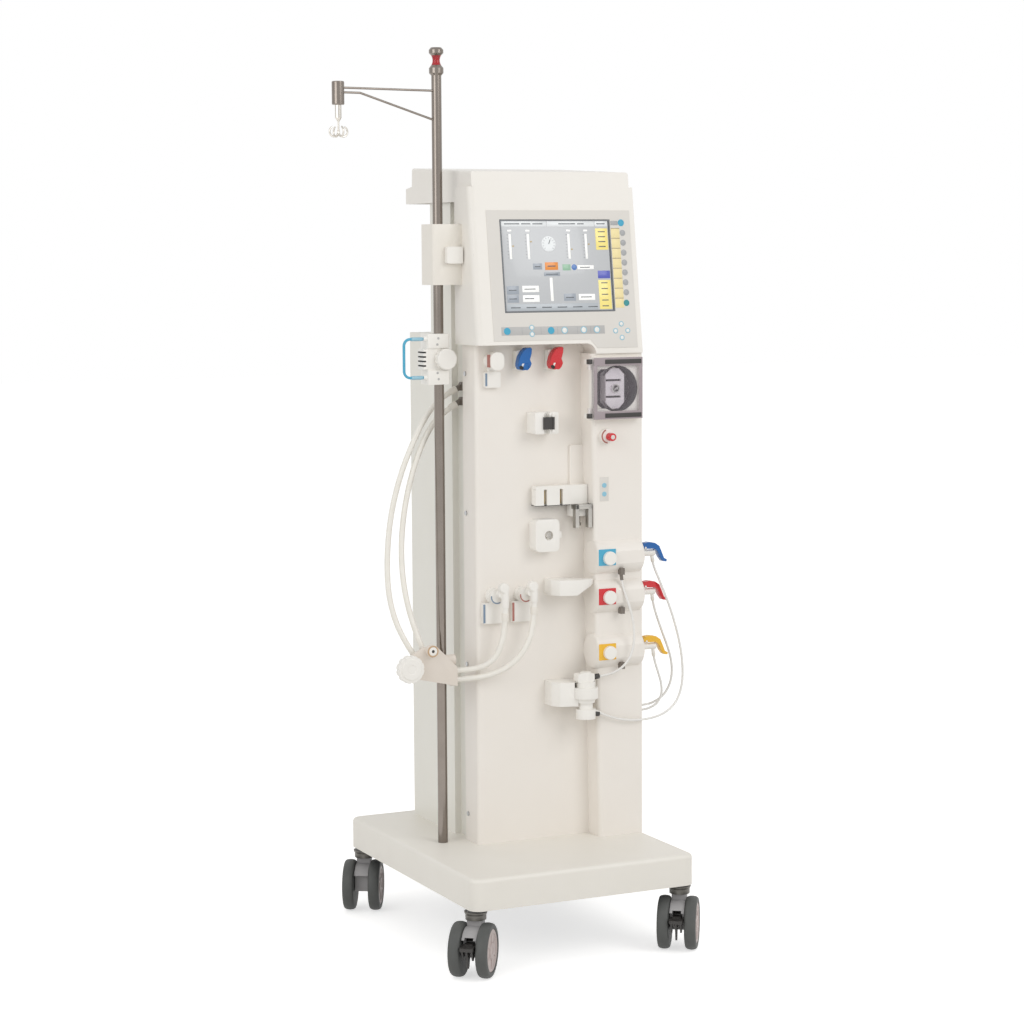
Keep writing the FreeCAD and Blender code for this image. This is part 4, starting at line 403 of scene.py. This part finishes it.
OUTER_HOSE = [
    (-100, 38, 1000), (-128, 38, 988), (-156, 38, 960), (-188, 35, 906), (-218, 29, 842),
    (-240, 20, 772), (-252, 8, 702), (-256, -6, 640), (-250, -22, 592), (-238, -36, 558),
    (-223, -43, 531), (-208, -44, 507), (-189, -44, 489), (-166, -44, 481), (-122, -44, 481),
    (-102, -53, 483), (-84, -68, 488), (-58, -80, 500), (-32, -84, 520), (-12, -82, 548),
    (-2, -79, 580), (0, -78, 608)]
INNER_HOSE = [
    (-100, 38, 973), (-128, 38, 958), (-156, 37, 928), (-184, 33, 872), (-206, 26, 806),
    (-220, 16, 740), (-225, 4, 678), (-223, -12, 624), (-215, -29, 576), (-205, -41, 540),
    (-194, -44, 518), (-179, -44, 504), (-160, -44, 497), (-122, -44, 497), (-105, -52, 499),
    (-90, -65, 506), (-76, -75, 521), (-66, -79, 545), (-60, -79, 573), (-58, -78, 600)]
BLUE_TUBE = [
    (250, -66, 680), (250.5, -69, 668), (255, -77, 650), (265, -82, 622), (280, -82, 586),
    (294, -79, 548), (306, -75, 508), (312, -72, 468), (309, -73, 436), (294, -78, 408),
    (266, -86, 392), (232, -93, 386), (196, -97, 386), (160, -98, 392), (138, -97, 400),
    (124, -96, 406)]
RED_TUBE = [
    (250, -66, 608), (252, -66, 594), (261, -64, 570), (275, -58.5, 540), (290, -55, 508),
    (300, -52, 476), (299, -50, 444), (286, -46, 418), (262, -42, 404), (240, -40, 402),
    (224, -40, 402)]
YELLOW_TUBE = [
    (250, -70, 504), (252, -70, 490), (260, -69, 469), (269, -66, 446), (272, -63, 424),
    (264, -59, 406), (248, -56, 398), (236, -54, 396), (224, -54, 396)]
CARTRIDGE_TUBE = [
    (166, -104, 650), (167, -106, 636), (174, -112, 612), (181, -117, 582), (184, -119, 550),
    (180, -119, 518), (166, -116, 494), (148, -108, 481), (134, -100, 476), (124, -96, 474)]


def lay_cord(node_name, route, diameter, key):
    """One hose or tube along its route, standing for its CAD solid."""
    data = bpy.data.curves.new(node_name + "_line", "CURVE")
    data.dimensions = "3D"
    data.bevel_depth = mm(diameter) / 2
    data.bevel_resolution = 5
    data.use_fill_caps = True
    spline = data.splines.new("NURBS")
    spline.points.add(len(route) - 1)
    for knot, spot in zip(spline.points, route):
        knot.co = (*mm(*spot), 1)
    spline.order_u = 3
    spline.use_endpoint_u = True
    spline.resolution_u = 8
    piece = bpy.data.objects.new(node_name + "_line", data)
    scene.collection.objects.link(piece)
    data.materials.append(LOOKS[key][0])
    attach(piece, "machine")
    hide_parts(node_name)


HOSE_DIAMETER = 10.6
TUBE_DIAMETER = 4.4
for node_name, route, length in (("outer_hose", OUTER_HOSE, 860), ("inner_hose", INNER_HOSE, 730)):
    lay_cord(node_name, route, HOSE_DIAMETER, "hose")
for node_name, route, length in (("blue_tube", BLUE_TUBE, 467), ("red_tube", RED_TUBE, 268),
                                 ("yellow_tube", YELLOW_TUBE, 145),
                                 ("cartridge_tube", CARTRIDGE_TUBE, 214)):
    lay_cord(node_name, route, TUBE_DIAMETER, "tube")


# Floor, world and lamps

FLOOR_SIZE = 40         # metres
FLOOR_LIFT = 0.6        # light given off by the floor where it is seen, so it blends to white
WORLD_DIM = 0.67        # strength with which the white world lights the model
LAMPS = {               # place in metres, size in metres and power in watts
    "key": ((1.6, -3.6, 3.0), 2.4, 48),
    "fill": ((-3.6, -1.6, 2.4), 2.6, 38),
}
LAMP_AIM = (0, 0, 0.8)


def rays_that_see(tree):
    """1 for rays from the camera, a reflection or a clear piece, and 0 for rays that light."""
    path = add(tree, "ShaderNodeLightPath", {})
    seen = path.outputs["Is Camera Ray"]
    for kind in ("Is Glossy Ray", "Is Transmission Ray"):
        seen = add(tree, "ShaderNodeMath", {0: seen, 1: path.outputs[kind]},
                   operation="MAXIMUM").outputs[0]
    return seen


def make_floor():
    bpy.ops.mesh.primitive_plane_add(size=FLOOR_SIZE)
    floor = bpy.context.object
    floor.name = "floor"
    floor.select_set(False)
    material = bpy.data.materials.new("pale_floor")
    material.use_nodes = True
    tree = material.node_tree
    tree.nodes.clear()
    lift = add(tree, "ShaderNodeMath", {0: rays_that_see(tree), 1: FLOOR_LIFT},
               operation="MULTIPLY")
    matt = add(tree, "ShaderNodeBsdfDiffuse", {"Color": linear("#e6e5e3")})
    glow = add(tree, "ShaderNodeEmission", {"Color": (1, 1, 1, 1), "Strength": lift.outputs[0]})
    both = add(tree, "ShaderNodeAddShader", {0: matt.outputs[0], 1: glow.outputs[0]})
    add(tree, "ShaderNodeOutputMaterial", {"Surface": both.outputs[0]})
    floor.data.materials.append(material)


def make_light():
    world = bpy.data.worlds.new("studio")
    scene.world = world
    world.use_nodes = True
    tree = world.node_tree
    level = add(tree, "ShaderNodeMapRange", {"Value": rays_that_see(tree), "To Min": WORLD_DIM,
                                             "To Max": 1.0})
    sky = tree.nodes["Background"]
    sky.inputs["Color"].default_value = (1, 1, 1, 1)
    tree.links.new(level.outputs[0], sky.inputs["Strength"])

    for name, (place, size, power) in LAMPS.items():
        data = bpy.data.lights.new(name, "AREA")
        data.size = size
        data.energy = power
        lamp = bpy.data.objects.new(name, data)
        scene.collection.objects.link(lamp)
        aim = Vector(LAMP_AIM) - Vector(place)
        lamp.matrix_world = (Matrix.Translation(place)
                             @ aim.to_track_quat("-Z", "Y").to_matrix().to_4x4())


make_floor()
make_light()


# Screen, drawn on the tilted face: u runs right from the screen's left edge, v up from its foot

HEAD_TILT = -7.8        # degrees
FACE = Matrix.Translation(mm(0, -82, 1140)) @ Matrix.Rotation(math.radians(HEAD_TILT), 4, "X")
SCREEN_LEFT = -56.5
SCREEN_WIDTH = 221.0
SCREEN_HEIGHT = 167.0
GLASS = -0.2            # local Y of the lit field's face
FILM = -0.8             # local Y of the keypad film's face


def tile(u, v, width, height, level=1, edge=0.06, base=GLASS):
    """A printed or lit field, raised by a hair above what is under it."""
    x = SCREEN_LEFT + u
    return block((x, base - 0.15 * level, v), (x + width, base + 0.1, v + height), edge, FACE, 2)


def button(u, v, radius, rise, base=FILM, rim=0.0):
    """A round key with a soft shoulder, and a raised rim where one is given."""
    place = FACE @ facing(SCREEN_LEFT + u, base, v)
    rings = [(radius, -0.1), (radius, rise * 0.6), (radius - 0.5, rise)]
    if rim:
        rings += [(radius - rim, rise), (radius - rim - 0.2, rise - 0.3)]
    return raised(rings, place, 0, 32)


def paint(name, hex_colour, glow):
    """A liquid-crystal field: flat colour under glass, a little of it given off as light."""
    tint = surface(name, hex_colour, hex_colour, 0.3, 0.002, 0.28, 0.03, 6)
    shader = tint.node_tree.nodes["Principled BSDF"]
    shader.inputs["Emission Color"].default_value = linear(hex_colour)
    shader.inputs["Emission Strength"].default_value = glow
    shader.inputs["Coat Weight"].default_value = 0.3
    return tint


for key, hex_colour, glow in (
        ("lit_grey", "#b9bbbd", 0.12), ("lit_pale", "#dcdfe0", 0.12),
        ("lit_white", "#f6f6f3", 0.14), ("lit_mid", "#9aa1aa", 0.08),
        ("lit_orange", "#e08a36", 0.1), ("lit_green", "#8fb79b", 0.1),
        ("lit_blue", "#4a74b4", 0.1), ("lit_violet", "#4f57b2", 0.1),
        ("lit_yellow", "#f1df83", 0.1), ("lit_tan", "#b39a63", 0.05),
        ("lit_dark", "#4b5056", 0.02), ("lit_band", "#aeb4b9", 0.1)):
    look(key, "screen_glass", paint("screen_" + key[4:], hex_colour, glow))
for key, hex_colour in (("key_grey", "#a9aaab"), ("key_cyan", "#37a3c4"), ("key_teal", "#2f8f93"),
                        ("key_pale", "#8fc3d6"), ("key_white", "#efede8"),
                        ("tab_yellow", "#f2e1a8"), ("tab_line", "#a8966a")):
    # Ink printed under the film: its colour with the film's fine texture.
    look(key, "keypad_film", surface("ink_" + key, hex_colour, hex_colour, 0.5, 0.012, 0.42))


def make_screen():
    bezel = block((SCREEN_LEFT, -1.0, 0), (SCREEN_LEFT + SCREEN_WIDTH, 0.3, SCREEN_HEIGHT),
                  0.0, FACE)
    bezel.select_set(True)
    bpy.context.view_layer.objects.active = bezel
    bpy.ops.object.mode_set(mode="EDIT")
    mesh = bmesh.from_edit_mesh(bezel.data)
    outward = FACE.to_3x3() @ Vector((0, -1, 0))
    bpy.ops.mesh.select_all(action="DESELECT")
    for side in mesh.faces:
        if side.normal.dot(outward) > 0.9:
            side.select_set(True)
    mesh.select_flush(True)
    bmesh.update_edit_mesh(bezel.data)
    bpy.ops.mesh.inset(thickness=mm(2.6))
    bpy.ops.mesh.extrude_region_move(
        TRANSFORM_OT_translate={"value": tuple(outward * -mm(0.9))})
    bpy.ops.object.mode_set(mode="OBJECT")
    bezel.select_set(False)
    publish("screen_bezel", "machine", "lit_dark", [bezel])
    fields = {
        "lit_grey": [(2.6, 2.6, 214.0, 161.8, 0)],
        "lit_pale": [(3, 154.5, 89, 9.5), (94, 154.5, 95, 9.5), (190.5, 154.5, 25.5, 9.5)],
        "lit_white": [(16.4, 96, 4.4, 45), (52.3, 96, 4.4, 45), (133.6, 96, 4.4, 45),
                      (168.3, 96, 4.4, 45), (14.5, 145.5, 8, 3.2), (50.5, 145.5, 8, 3.2),
                      (132, 145.5, 8, 3.2), (166.5, 145.5, 8, 3.2), (150, 77, 33, 7),
                      (92.8, 20, 5.5, 42), (37, 36.5, 33, 11.5), (37, 19, 33, 12),
                      (149, 21, 33, 11)],
        "lit_tan": [(22.5, 118, 3.2, 2.6), (58.5, 126, 3.2, 2.6), (139.7, 112, 3.2, 2.6),
                    (174.4, 121, 3.2, 2.6)],
        "lit_mid": [(61, 77, 18, 11), (82, 65, 32, 7), (6, 32.6, 24, 15.4), (6, 18, 23, 13.4),
                    (119, 20, 24, 13)],
        "lit_orange": [(85, 76, 26, 14)], "lit_green": [(120, 75, 16, 11)],
        "lit_band": [(4, 2.9, 183, 12.4)],
        "lit_yellow": [(190.6, 112, 24.8, 39), (190.6, 4, 24.8, 53)],
        "lit_violet": [(190.6, 60, 24.8, 14)],
    }
    for key, places in fields.items():
        publish("screen_" + key[4:], "machine", key, [tile(*place) for place in places])
    marks = [(9, 158.4, 30, 1.8), (43, 158.4, 18, 1.8), (65, 158.4, 20, 1.8), (117, 158.4, 34, 1.8),
             (155, 158.4, 13, 1.8), (194, 158.4, 17, 1.8)]
    marks += [(196, 117 + 9 * row, 14, 1.8) for row in range(4)]
    marks += [(196, 9 + 10.5 * row, 13, 1.8) for row in range(5)]
    marks += [(90, 82, 16, 2), (64.5, 81.5, 11, 1.6), (10, 39.5, 15, 1.6), (10, 24, 15, 1.6),
              (123, 25.5, 16, 1.6), (86, 67.8, 24, 1.4), (41, 41.3, 22, 1.6), (41, 24.2, 18, 1.6),
              (153, 25.8, 22, 1.6), (155, 79.6, 20, 1.6)]
    marks += [(12 + 31 * step, 8, 19, 1.8) for step in range(6)]
    for column in (12.6, 48.5, 129.8, 164.5):
        marks += [(column, 98 + 5.9 * step, 2.6, 0.5) for step in range(8)]
    publish("screen_marks", "machine", "lit_dark", [tile(*mark, level=2) for mark in marks])
    dial_u, dial_v = 95, 123
    dial = [raised([(14, -0.1), (14, 0.3), (13.2, 0.45), (9.4, 0.45), (9, 0.05)],
                   FACE @ facing(SCREEN_LEFT + dial_u, GLASS, dial_v), 0, 48)]
    publish("screen_dial", "machine", "lit_pale", dial)
    ticks = []
    for step in range(11):
        turn = math.radians(-135 + 27 * step)
        spot = FACE @ Matrix.Translation(mm(SCREEN_LEFT + dial_u + 11.3 * math.sin(turn),
                                            GLASS - 0.5, dial_v + 11.3 * math.cos(turn)))
        ticks.append(block((-0.35, 0, -1.2), (0.35, 0.3, 1.2), 0.05,
                           spot @ Matrix.Rotation(turn, 4, "Y"), 1))
    needle = FACE @ Matrix.Translation(mm(SCREEN_LEFT + dial_u, GLASS - 0.45, dial_v))
    ticks.append(block((-0.6, 0, 0), (0.6, 0.4, 8.4), 0.05,
                       needle @ Matrix.Rotation(math.radians(24), 4, "Y"), 1))
    publish("screen_dial_marks", "machine", "lit_dark", ticks)
    publish("screen_disc", "machine", "lit_blue", [button(143.5, 80.7, 5.3, 0.35, GLASS)])


make_screen()


# Keypad film

def make_keypad():
    tabs, lines = [], []
    for step in range(8):
        tabs.append(tile(222.4, 6 + 18.2 * step, 17.6, 16.6, 1, 0.1, FILM))
        lines.append(tile(222.4, 22.9 + 18.2 * step, 17.6, 1.0, 2, 0.05, FILM))
    publish("keypad_tabs", "machine", "tab_yellow", tabs)
    publish("keypad_tab_lines", "machine", "tab_line", lines)
    publish("keypad_side_keys", "machine", "key_grey",
            [button(246, 142.6 - 18.1 * step, 5.5, 0.7) for step in range(7)]
            + [tile(222.4, 156.5, 15, 8, 1, 0.1, FILM)])
    publish("keypad_top_key", "machine", "key_cyan", [button(244, 161, 6.2, 0.8, rim=1.4)])
    publish("keypad_low_key", "machine", "key_teal", [button(245, 14.6, 5.7, 0.8, rim=1.4)])
    publish("keypad_strip", "machine", "film_grey",
            [tile(-10, -40.5, 207, 15, 1, 0.1, FILM)])
    publish("keypad_keys", "machine", "key_cyan",
            [button(1.4, -33, 6.5, 0.9), button(88.5, -33, 6.5, 0.9)])
    rings = [(50.3, -27.2, 5.0), (50.3, -38.8, 5.0), (115.6, -33, 6.3), (154.2, -33, 6.3),
             (181, -33, 6.3)]
    rings += [(231.4, -23.5, 4.8), (231.4, -48.5, 4.8), (218.9, -36, 4.8), (243.9, -36, 4.8)]
    publish("keypad_ring_keys", "machine", "key_pale",
            [button(u, v, radius, 0.7, rim=1.2) for u, v, radius in rings])
    publish("keypad_ring_caps", "machine", "key_white",
            [button(u, v, radius - 1.5, 0.8) for u, v, radius in rings])
    publish("keypad_dividers", "machine", "key_grey",
            [tile(u, -39, 0.8, 12, 2, 0.05, FILM) for u in (30.5, 68, 101, 141, 168)])


make_keypad()


# Castor wheels, each turned from the same profiles

CASTOR_X = 202.0        # swivel axes left and right of the middle of the base
CASTOR_Y = 256.0        # and before and behind it
CASTOR_TRAIL = 20       # axle behind the swivel axis
WHEEL_INNER = 14        # inner face of a wheel from the castor's middle
WHEEL_RADIUS = 48
CASTORS = {"fl": (-1, -1, -39), "fr": (1, -1, -35), "rl": (-1, 1, -30), "rr": (1, 1, -30)}


def make_castors():
    tyre = [(37, 0.4)]
    for step in range(-7, 8):
        bulge = math.radians(12 * step)
        tyre.append((39.5 + 8.5 * math.cos(bulge) ** 0.45, 10.5 + 10.5 * math.sin(bulge)))
    tyre += [(38.2, 21), (37.4, 20.4), (37.2, 18)]
    hub = [(37.0, 1), (37.0, 19.4), (35.6, 20.2), (31, 20.2), (29.6, 18.6), (14.5, 18.2),
           (13, 20.4), (7, 20.6), (6, 19.6), (3.4, 19.6)]
    for place, (side, end, turn) in CASTORS.items():
        swivel = (Matrix.Translation(mm(side * CASTOR_X, end * CASTOR_Y, 0))
                  @ Matrix.Rotation(math.radians(turn), 4, "Z"))
        publish("swivel_collar_" + place, "castor_" + place, "collar",
                [raised([(18.4, 97.4), (18.4, 106), (19.6, 108), (20.4, 110), (20.4, 111.6)],
                        swivel, 0.3)])
        treads, hubs = [], []
        for outward in (-1, 1):
            axle = (swivel
                    @ Matrix.Translation(mm(outward * WHEEL_INNER, -CASTOR_TRAIL, WHEEL_RADIUS))
                    @ Matrix.Rotation(math.radians(90 * outward), 4, "Y"))
            treads.append(raised(tyre, axle, 0, 72))
            hubs.append(raised(hub, axle, 0, 72))
            for spoke in range(6):
                lie = axle @ Matrix.Rotation(math.radians(60 * spoke), 4, "Z")
                hubs.append(block((15, -2, 17.6), (30.5, 2, 19.6), 0.6, lie))
        publish("wheel_treads_" + place, "wheels_" + place, "tread", treads,
                ["castor_wheels_" + place])
        publish("wheel_hubs_" + place, "wheels_" + place, "hub", hubs)


make_castors()


# CAD pieces whose edges are moulded round

SOFTENED = {            # body that the piece rides on, and the width of its rounding
    "line_clamp_lever_blue": ("lever_blue", 1.6), "line_clamp_lever_red": ("lever_red", 1.6),
    "station_lever_blue": ("station_blue", 1.6), "station_lever_red": ("station_red", 1.6),
    "station_lever_yellow": ("station_yellow", 1.6), "hose_clamp_body": ("machine", 2.5),
    "cartridge_holder": ("machine", 1.8), "couplings": ("machine", 0.8),
    "front_ports": ("machine", 1.0), "pole_bracket": ("machine", 2.0),
    "holder_body": ("holder", 1.2), "line_clamp_bases": ("machine", 1.5),
    "air_detector": ("machine", 1.0),
}
for node_name, (body, width) in SOFTENED.items():
    softened(node_name, body, KEPT[node_name], width)


# Blood pump: opaque border of the door, raceway lining, hinge caps, and dark discs painted as the
# shade in the line ports

PUMP_X, PUMP_Z = 160, 1000      # the rotor's axis
DOOR_FRONT = -104.9             # face of the opaque border on the pump's door
PUMP_FLOOR = -64.1              # floor of the raceway


def make_pump():
    front = DOOR_FRONT
    border = [block((109.4, front, 960), (116, front + 0.7, 1042), 0.2),
              block((201.6, front, 960), (208.8, front + 0.7, 1042), 0.2),
              block((109.4, front, 1042), (208.8, front + 0.7, 1056.8), 0.2),
              block((109.4, front, 945.2), (208.8, front + 0.7, 960), 0.2)]
    publish("pump_door_border", "pump_door", "border", border)
    bars = [block((132, front - 1.2, 1045.5), (206, front + 0.1, 1053.5), 0.5),
            block((132, front - 1.2, 948), (206, front + 0.1, 956), 0.5)]
    publish("pump_door_bars", "pump_door", "dark", bars)
    lining = [band(PUMP_X, -81, PUMP_Z, 41.2, 41.9, -118, 118, 33),
              raised([(40.8, 0), (40.8, 0.4)], facing(PUMP_X, PUMP_FLOOR, PUMP_Z), 0, 64)]
    publish("raceway_lining", "machine", "lining", lining)
    plate = [block((119.5, -65, 966), (131.5, PUMP_FLOOR, 1034), 0.3)]
    publish("raceway_plate", "machine", "film_grey", plate)
    # Dark discs painted as the shade in the two line ports.
    holes = [raised([(2.6, 0), (2.6, 0.5)], facing(126, -65, 1000), 0, 32),
             raised([(4.4, 0), (4.4, 0.5)], facing(126, -65, 977), 0, 32)]
    publish("pump_line_ports", "machine", "black", holes)
    caps = [block((97.4, -104.8, low), (106.6, -97.9, low + 8.6), 0.6) for low in (947.7, 1045.9)]
    publish("pump_hinge_caps", "machine", "dark", caps)
    ring = [raised([(8.2, 0), (8.2, 0.5), (6.2, 0.5), (6, 0.2)],
                   facing(PUMP_X, -92.8, PUMP_Z), 0, 40)]
    publish("rotor_knob_ring", "rotor", "film_grey", ring)
    # Dark bars painted as the shade in the knob's two slots.
    slots = [block((143, -88.7, z - 1.6), (170, -85.7, z + 1.6), 0.2) for z in (985, 1015)]
    publish("rotor_slots", "rotor", "black", slots)


make_pump()


# Marks and fittings on the front

def make_front_detail():
    # Coloured squares under the three round caps, on the flats of the station housings.
    for name, key, z in (("blue", "cyan", 692), ("red", "red", 620), ("yellow", "yellow", 518)):
        foot = z - 13.5
        publish("station_label_" + name, "machine", key,
                [block((118, -105.6, foot), (153, -104.8, foot + 30), 0.25)])
    publish("column_key_label", "machine", "film",
            [block((129, -88.7, 795), (147, -87.9, 839), 0.25)])
    publish("column_keys", "machine", "key_pale",
            [raised([(4.4, 0), (4.4, 0.9), (4, 1.1), (2.6, 1.1), (2.4, 0.8)],
                    facing(138, -88.6, z), 0, 32) for z in (808, 824)])
    # The brass contacts take the screen's tan, which gives off a little light: a faint painted
    # glow.
    publish("sensor_contacts", "machine", "lit_tan",
            [block((x - 2.4, -59, 792), (x + 2.4, -57.3, 817), 0.4) for x in (30, 62)])
    # A thin dark plate painted as the shade under the sensor bar.
    publish("sensor_shadow_strip", "machine", "dark",
            [block((11, -65, 788.8), (81, -45, 789.9), 0.2)])
    # The clamping jaw's ground steel cheeks and front.
    publish("jaw_skin", "machine", "steel",
            [block((81.7, -84.4, 747.6), (89.3, -72.2, 790.3), 0.5),
             block((107.7, -84.4, 747.6), (115.3, -72.2, 790.3), 0.5),
             block((81.7, -84.4, 781.9), (115.3, -66, 790.3), 0.5)])
    # Printed strips and arcs that tell the ports apart.
    publish("port_marks_blue", "machine", "slate",
            [block((-90.5, -54.6, 581), (-86.4, -53.8, 615), 0.3),
             block((-83.4, -54.6, 1009), (-79.6, -53.8, 1032), 0.3),
             band(-68, -66.3, 629, 10.6, 12.8, 170, 300, 0.9)])
    publish("port_marks_red", "machine", "brick",
            [block((-32.5, -54.6, 581), (-28.4, -53.8, 615), 0.3),
             block((-81.7, -70, 1043), (-80.7, -58, 1066), 0.3),
             band(-10, -66.3, 629, 10.6, 12.8, 170, 300, 0.9),
             band(141, -98.3, 914, 10.8, 13.3, 110, 265, 0.9)])
    publish("pressure_cap_centre", "pressure_cap", "film",
            [raised([(4.0, 0), (4.0, 0.5), (3.4, 0.8)], facing(144, -111.9, 913), 0, 32)])
    publish("clip_bolt", "machine", "steel",
            [raised([(4.6, 0), (4.6, 0.6), (3.8, 1.2), (2.2, 1.2), (1.8, 0.5)],
                    facing(34, -70.9, 735.5), 0, 32)])
    # Bosses of the two line clamp levers, and dark plates painted as the shade in their mouths.
    for name, x in (("blue", -18), ("red", 45)):
        publish("lever_boss_" + name, "lever_" + name, name,
                [raised([(6.2, 0), (6.2, 1.4), (5.2, 2.2), (3.4, 2.2), (3.2, 1.4)],
                        facing(x + 6, -75.8, 1043), 0, 32)])
        publish("lever_mouth_" + name, "lever_" + name, "black",
                [cut_out([(-7, -6), (-2, -8), (0, -5), (-4, -1), (-7.6, -2)], 0.8, 0.1,
                         Matrix.Translation(mm(x, -76.0, 1046)))])
    # Clips where the two tubes leave the cartridge heads, and a dark plate painted as the shade in
    # the slot of its bracket.
    publish("cartridge_clips", "machine", "dark",
            [sleeve([(4.4, 0), (4.9, 1), (4.9, 9), (4.2, 10)], (112.5, -96, z),
                    (130, -96, z + rise))
             for z, rise in ((474, 1.5), (406, -2))])
    publish("bracket_slot", "machine", "dark",
            [cut_out([(0, 8), (7, 1), (16, -3), (26, -4), (26, -1), (16, 0.5), (8, 5), (2, 10)],
                     0.8, 0.1, Matrix.Translation(mm(54, -90.2, 446)))])


make_front_detail()


# Fittings on the pole

def make_pole_detail():
    publish("bail_sleeves", "bail", "sky",
            [sleeve([(2.9, 0), (3.5, 0.6), (3.5, 20.6), (3.0, 21.6)], (-206, -5, z), (-180, -5, z))
             for z in (1025, 1094)])
    # Dark bars painted as the shade in the holder's four slots.
    publish("holder_slots", "holder", "black",
            [block((-184.1, -9.7, 1044.8 + 8 * row), (-179.2, 15.4, 1047.2 + 8 * row), 0.2)
             for row in range(4)])
    # Grey discs painted as the shade in the holder's holes.
    publish("holder_holes", "holder", "film_grey",
            [raised([(2.2, 0), (2.2, 0.4), (1.6, 0.5)], facing(x, -12, z), 0, 24)
             for x, z in ((-156, 1095), (-158, 1084), (-158, 1033), (-156, 1022))])
    publish("clamp_ring", "machine", "tan",
            [raised([(10.6, 0), (10.6, 1.0), (9.8, 1.8), (8.2, 1.8), (7.9, 1.2)],
                    facing(-198, -71.6, 540), 0, 48)])
    publish("clamp_ring_face", "machine", "white",
            [raised([(7.8, 0), (7.8, 1.0), (6.9, 1.6), (3.0, 1.6), (2.8, 0.6)],
                    facing(-198, -71.8, 540), 0, 48)])
    # A dark disc painted as the shade in the ring's bore.
    publish("clamp_ring_bore", "machine", "dark",
            [raised([(2.7, 0), (2.7, 1.0)], facing(-198, -71.9, 540), 0, 24)])
    publish("clamp_knob_face", "hose_clamp_knob", "white",
            [raised([(19, 0), (19, 0.8), (18, 1.5), (9, 1.5), (8, 0.7), (6, 0.7)],
                    facing(-240, -73.2, 510), 0, 64)])
    # Tapered rubber ends where the hoses and tubes leave their fittings, with their half widths.
    hose, tube = 5.4, 2.3
    ends = [(OUTER_HOSE[0], OUTER_HOSE[1], hose), (INNER_HOSE[0], INNER_HOSE[1], hose),
            (OUTER_HOSE[-1], OUTER_HOSE[-2], hose), (INNER_HOSE[-1], INNER_HOSE[-2], hose),
            (BLUE_TUBE[0], BLUE_TUBE[1], tube), (RED_TUBE[0], RED_TUBE[1], tube),
            (YELLOW_TUBE[0], YELLOW_TUBE[1], tube), (RED_TUBE[-1], RED_TUBE[-2], tube),
            (YELLOW_TUBE[-1], YELLOW_TUBE[-2], tube)]
    publish("cord_reliefs", "machine", "cream",
            [sleeve([(half + 1.3, 0), (half + 1.4, 0.8), (half + 0.9, 2.2 * half),
                     (half + 0.1, 2.6 * half)], start, ahead) for start, ahead, half in ends])


make_pole_detail()


# Fittings at the back

def make_back_detail():
    # The mains inlet's black face, which also stands for the shade in its recess.
    publish("inlet_socket", "machine", "black",
            [block((22, 252.8, 725.5), (58, 253.3, 748.5), 0.2)])
    publish("inlet_pins", "machine", "steel",
            [block((x - 1, 253.2, z), (x + 1, 261, z + 5), 0.4)
             for x, z in ((32, 731), (40, 738), (48, 731))])
    rings = []
    for x in (-20, 20):
        for y in (263, 268, 273):
            rings.append(sleeve([(8.1, 0), (9.0, 0.6), (8.1, 3.2)], (x, y, 240), (x, y + 1, 240)))
    publish("stub_barbs", "machine", "steel", rings)
    publish("rear_plate_frame", "machine", "film_grey",
            [block((-70, 249.9, 690), (-10, 250.6, 780), 0.3)])


make_back_detail()
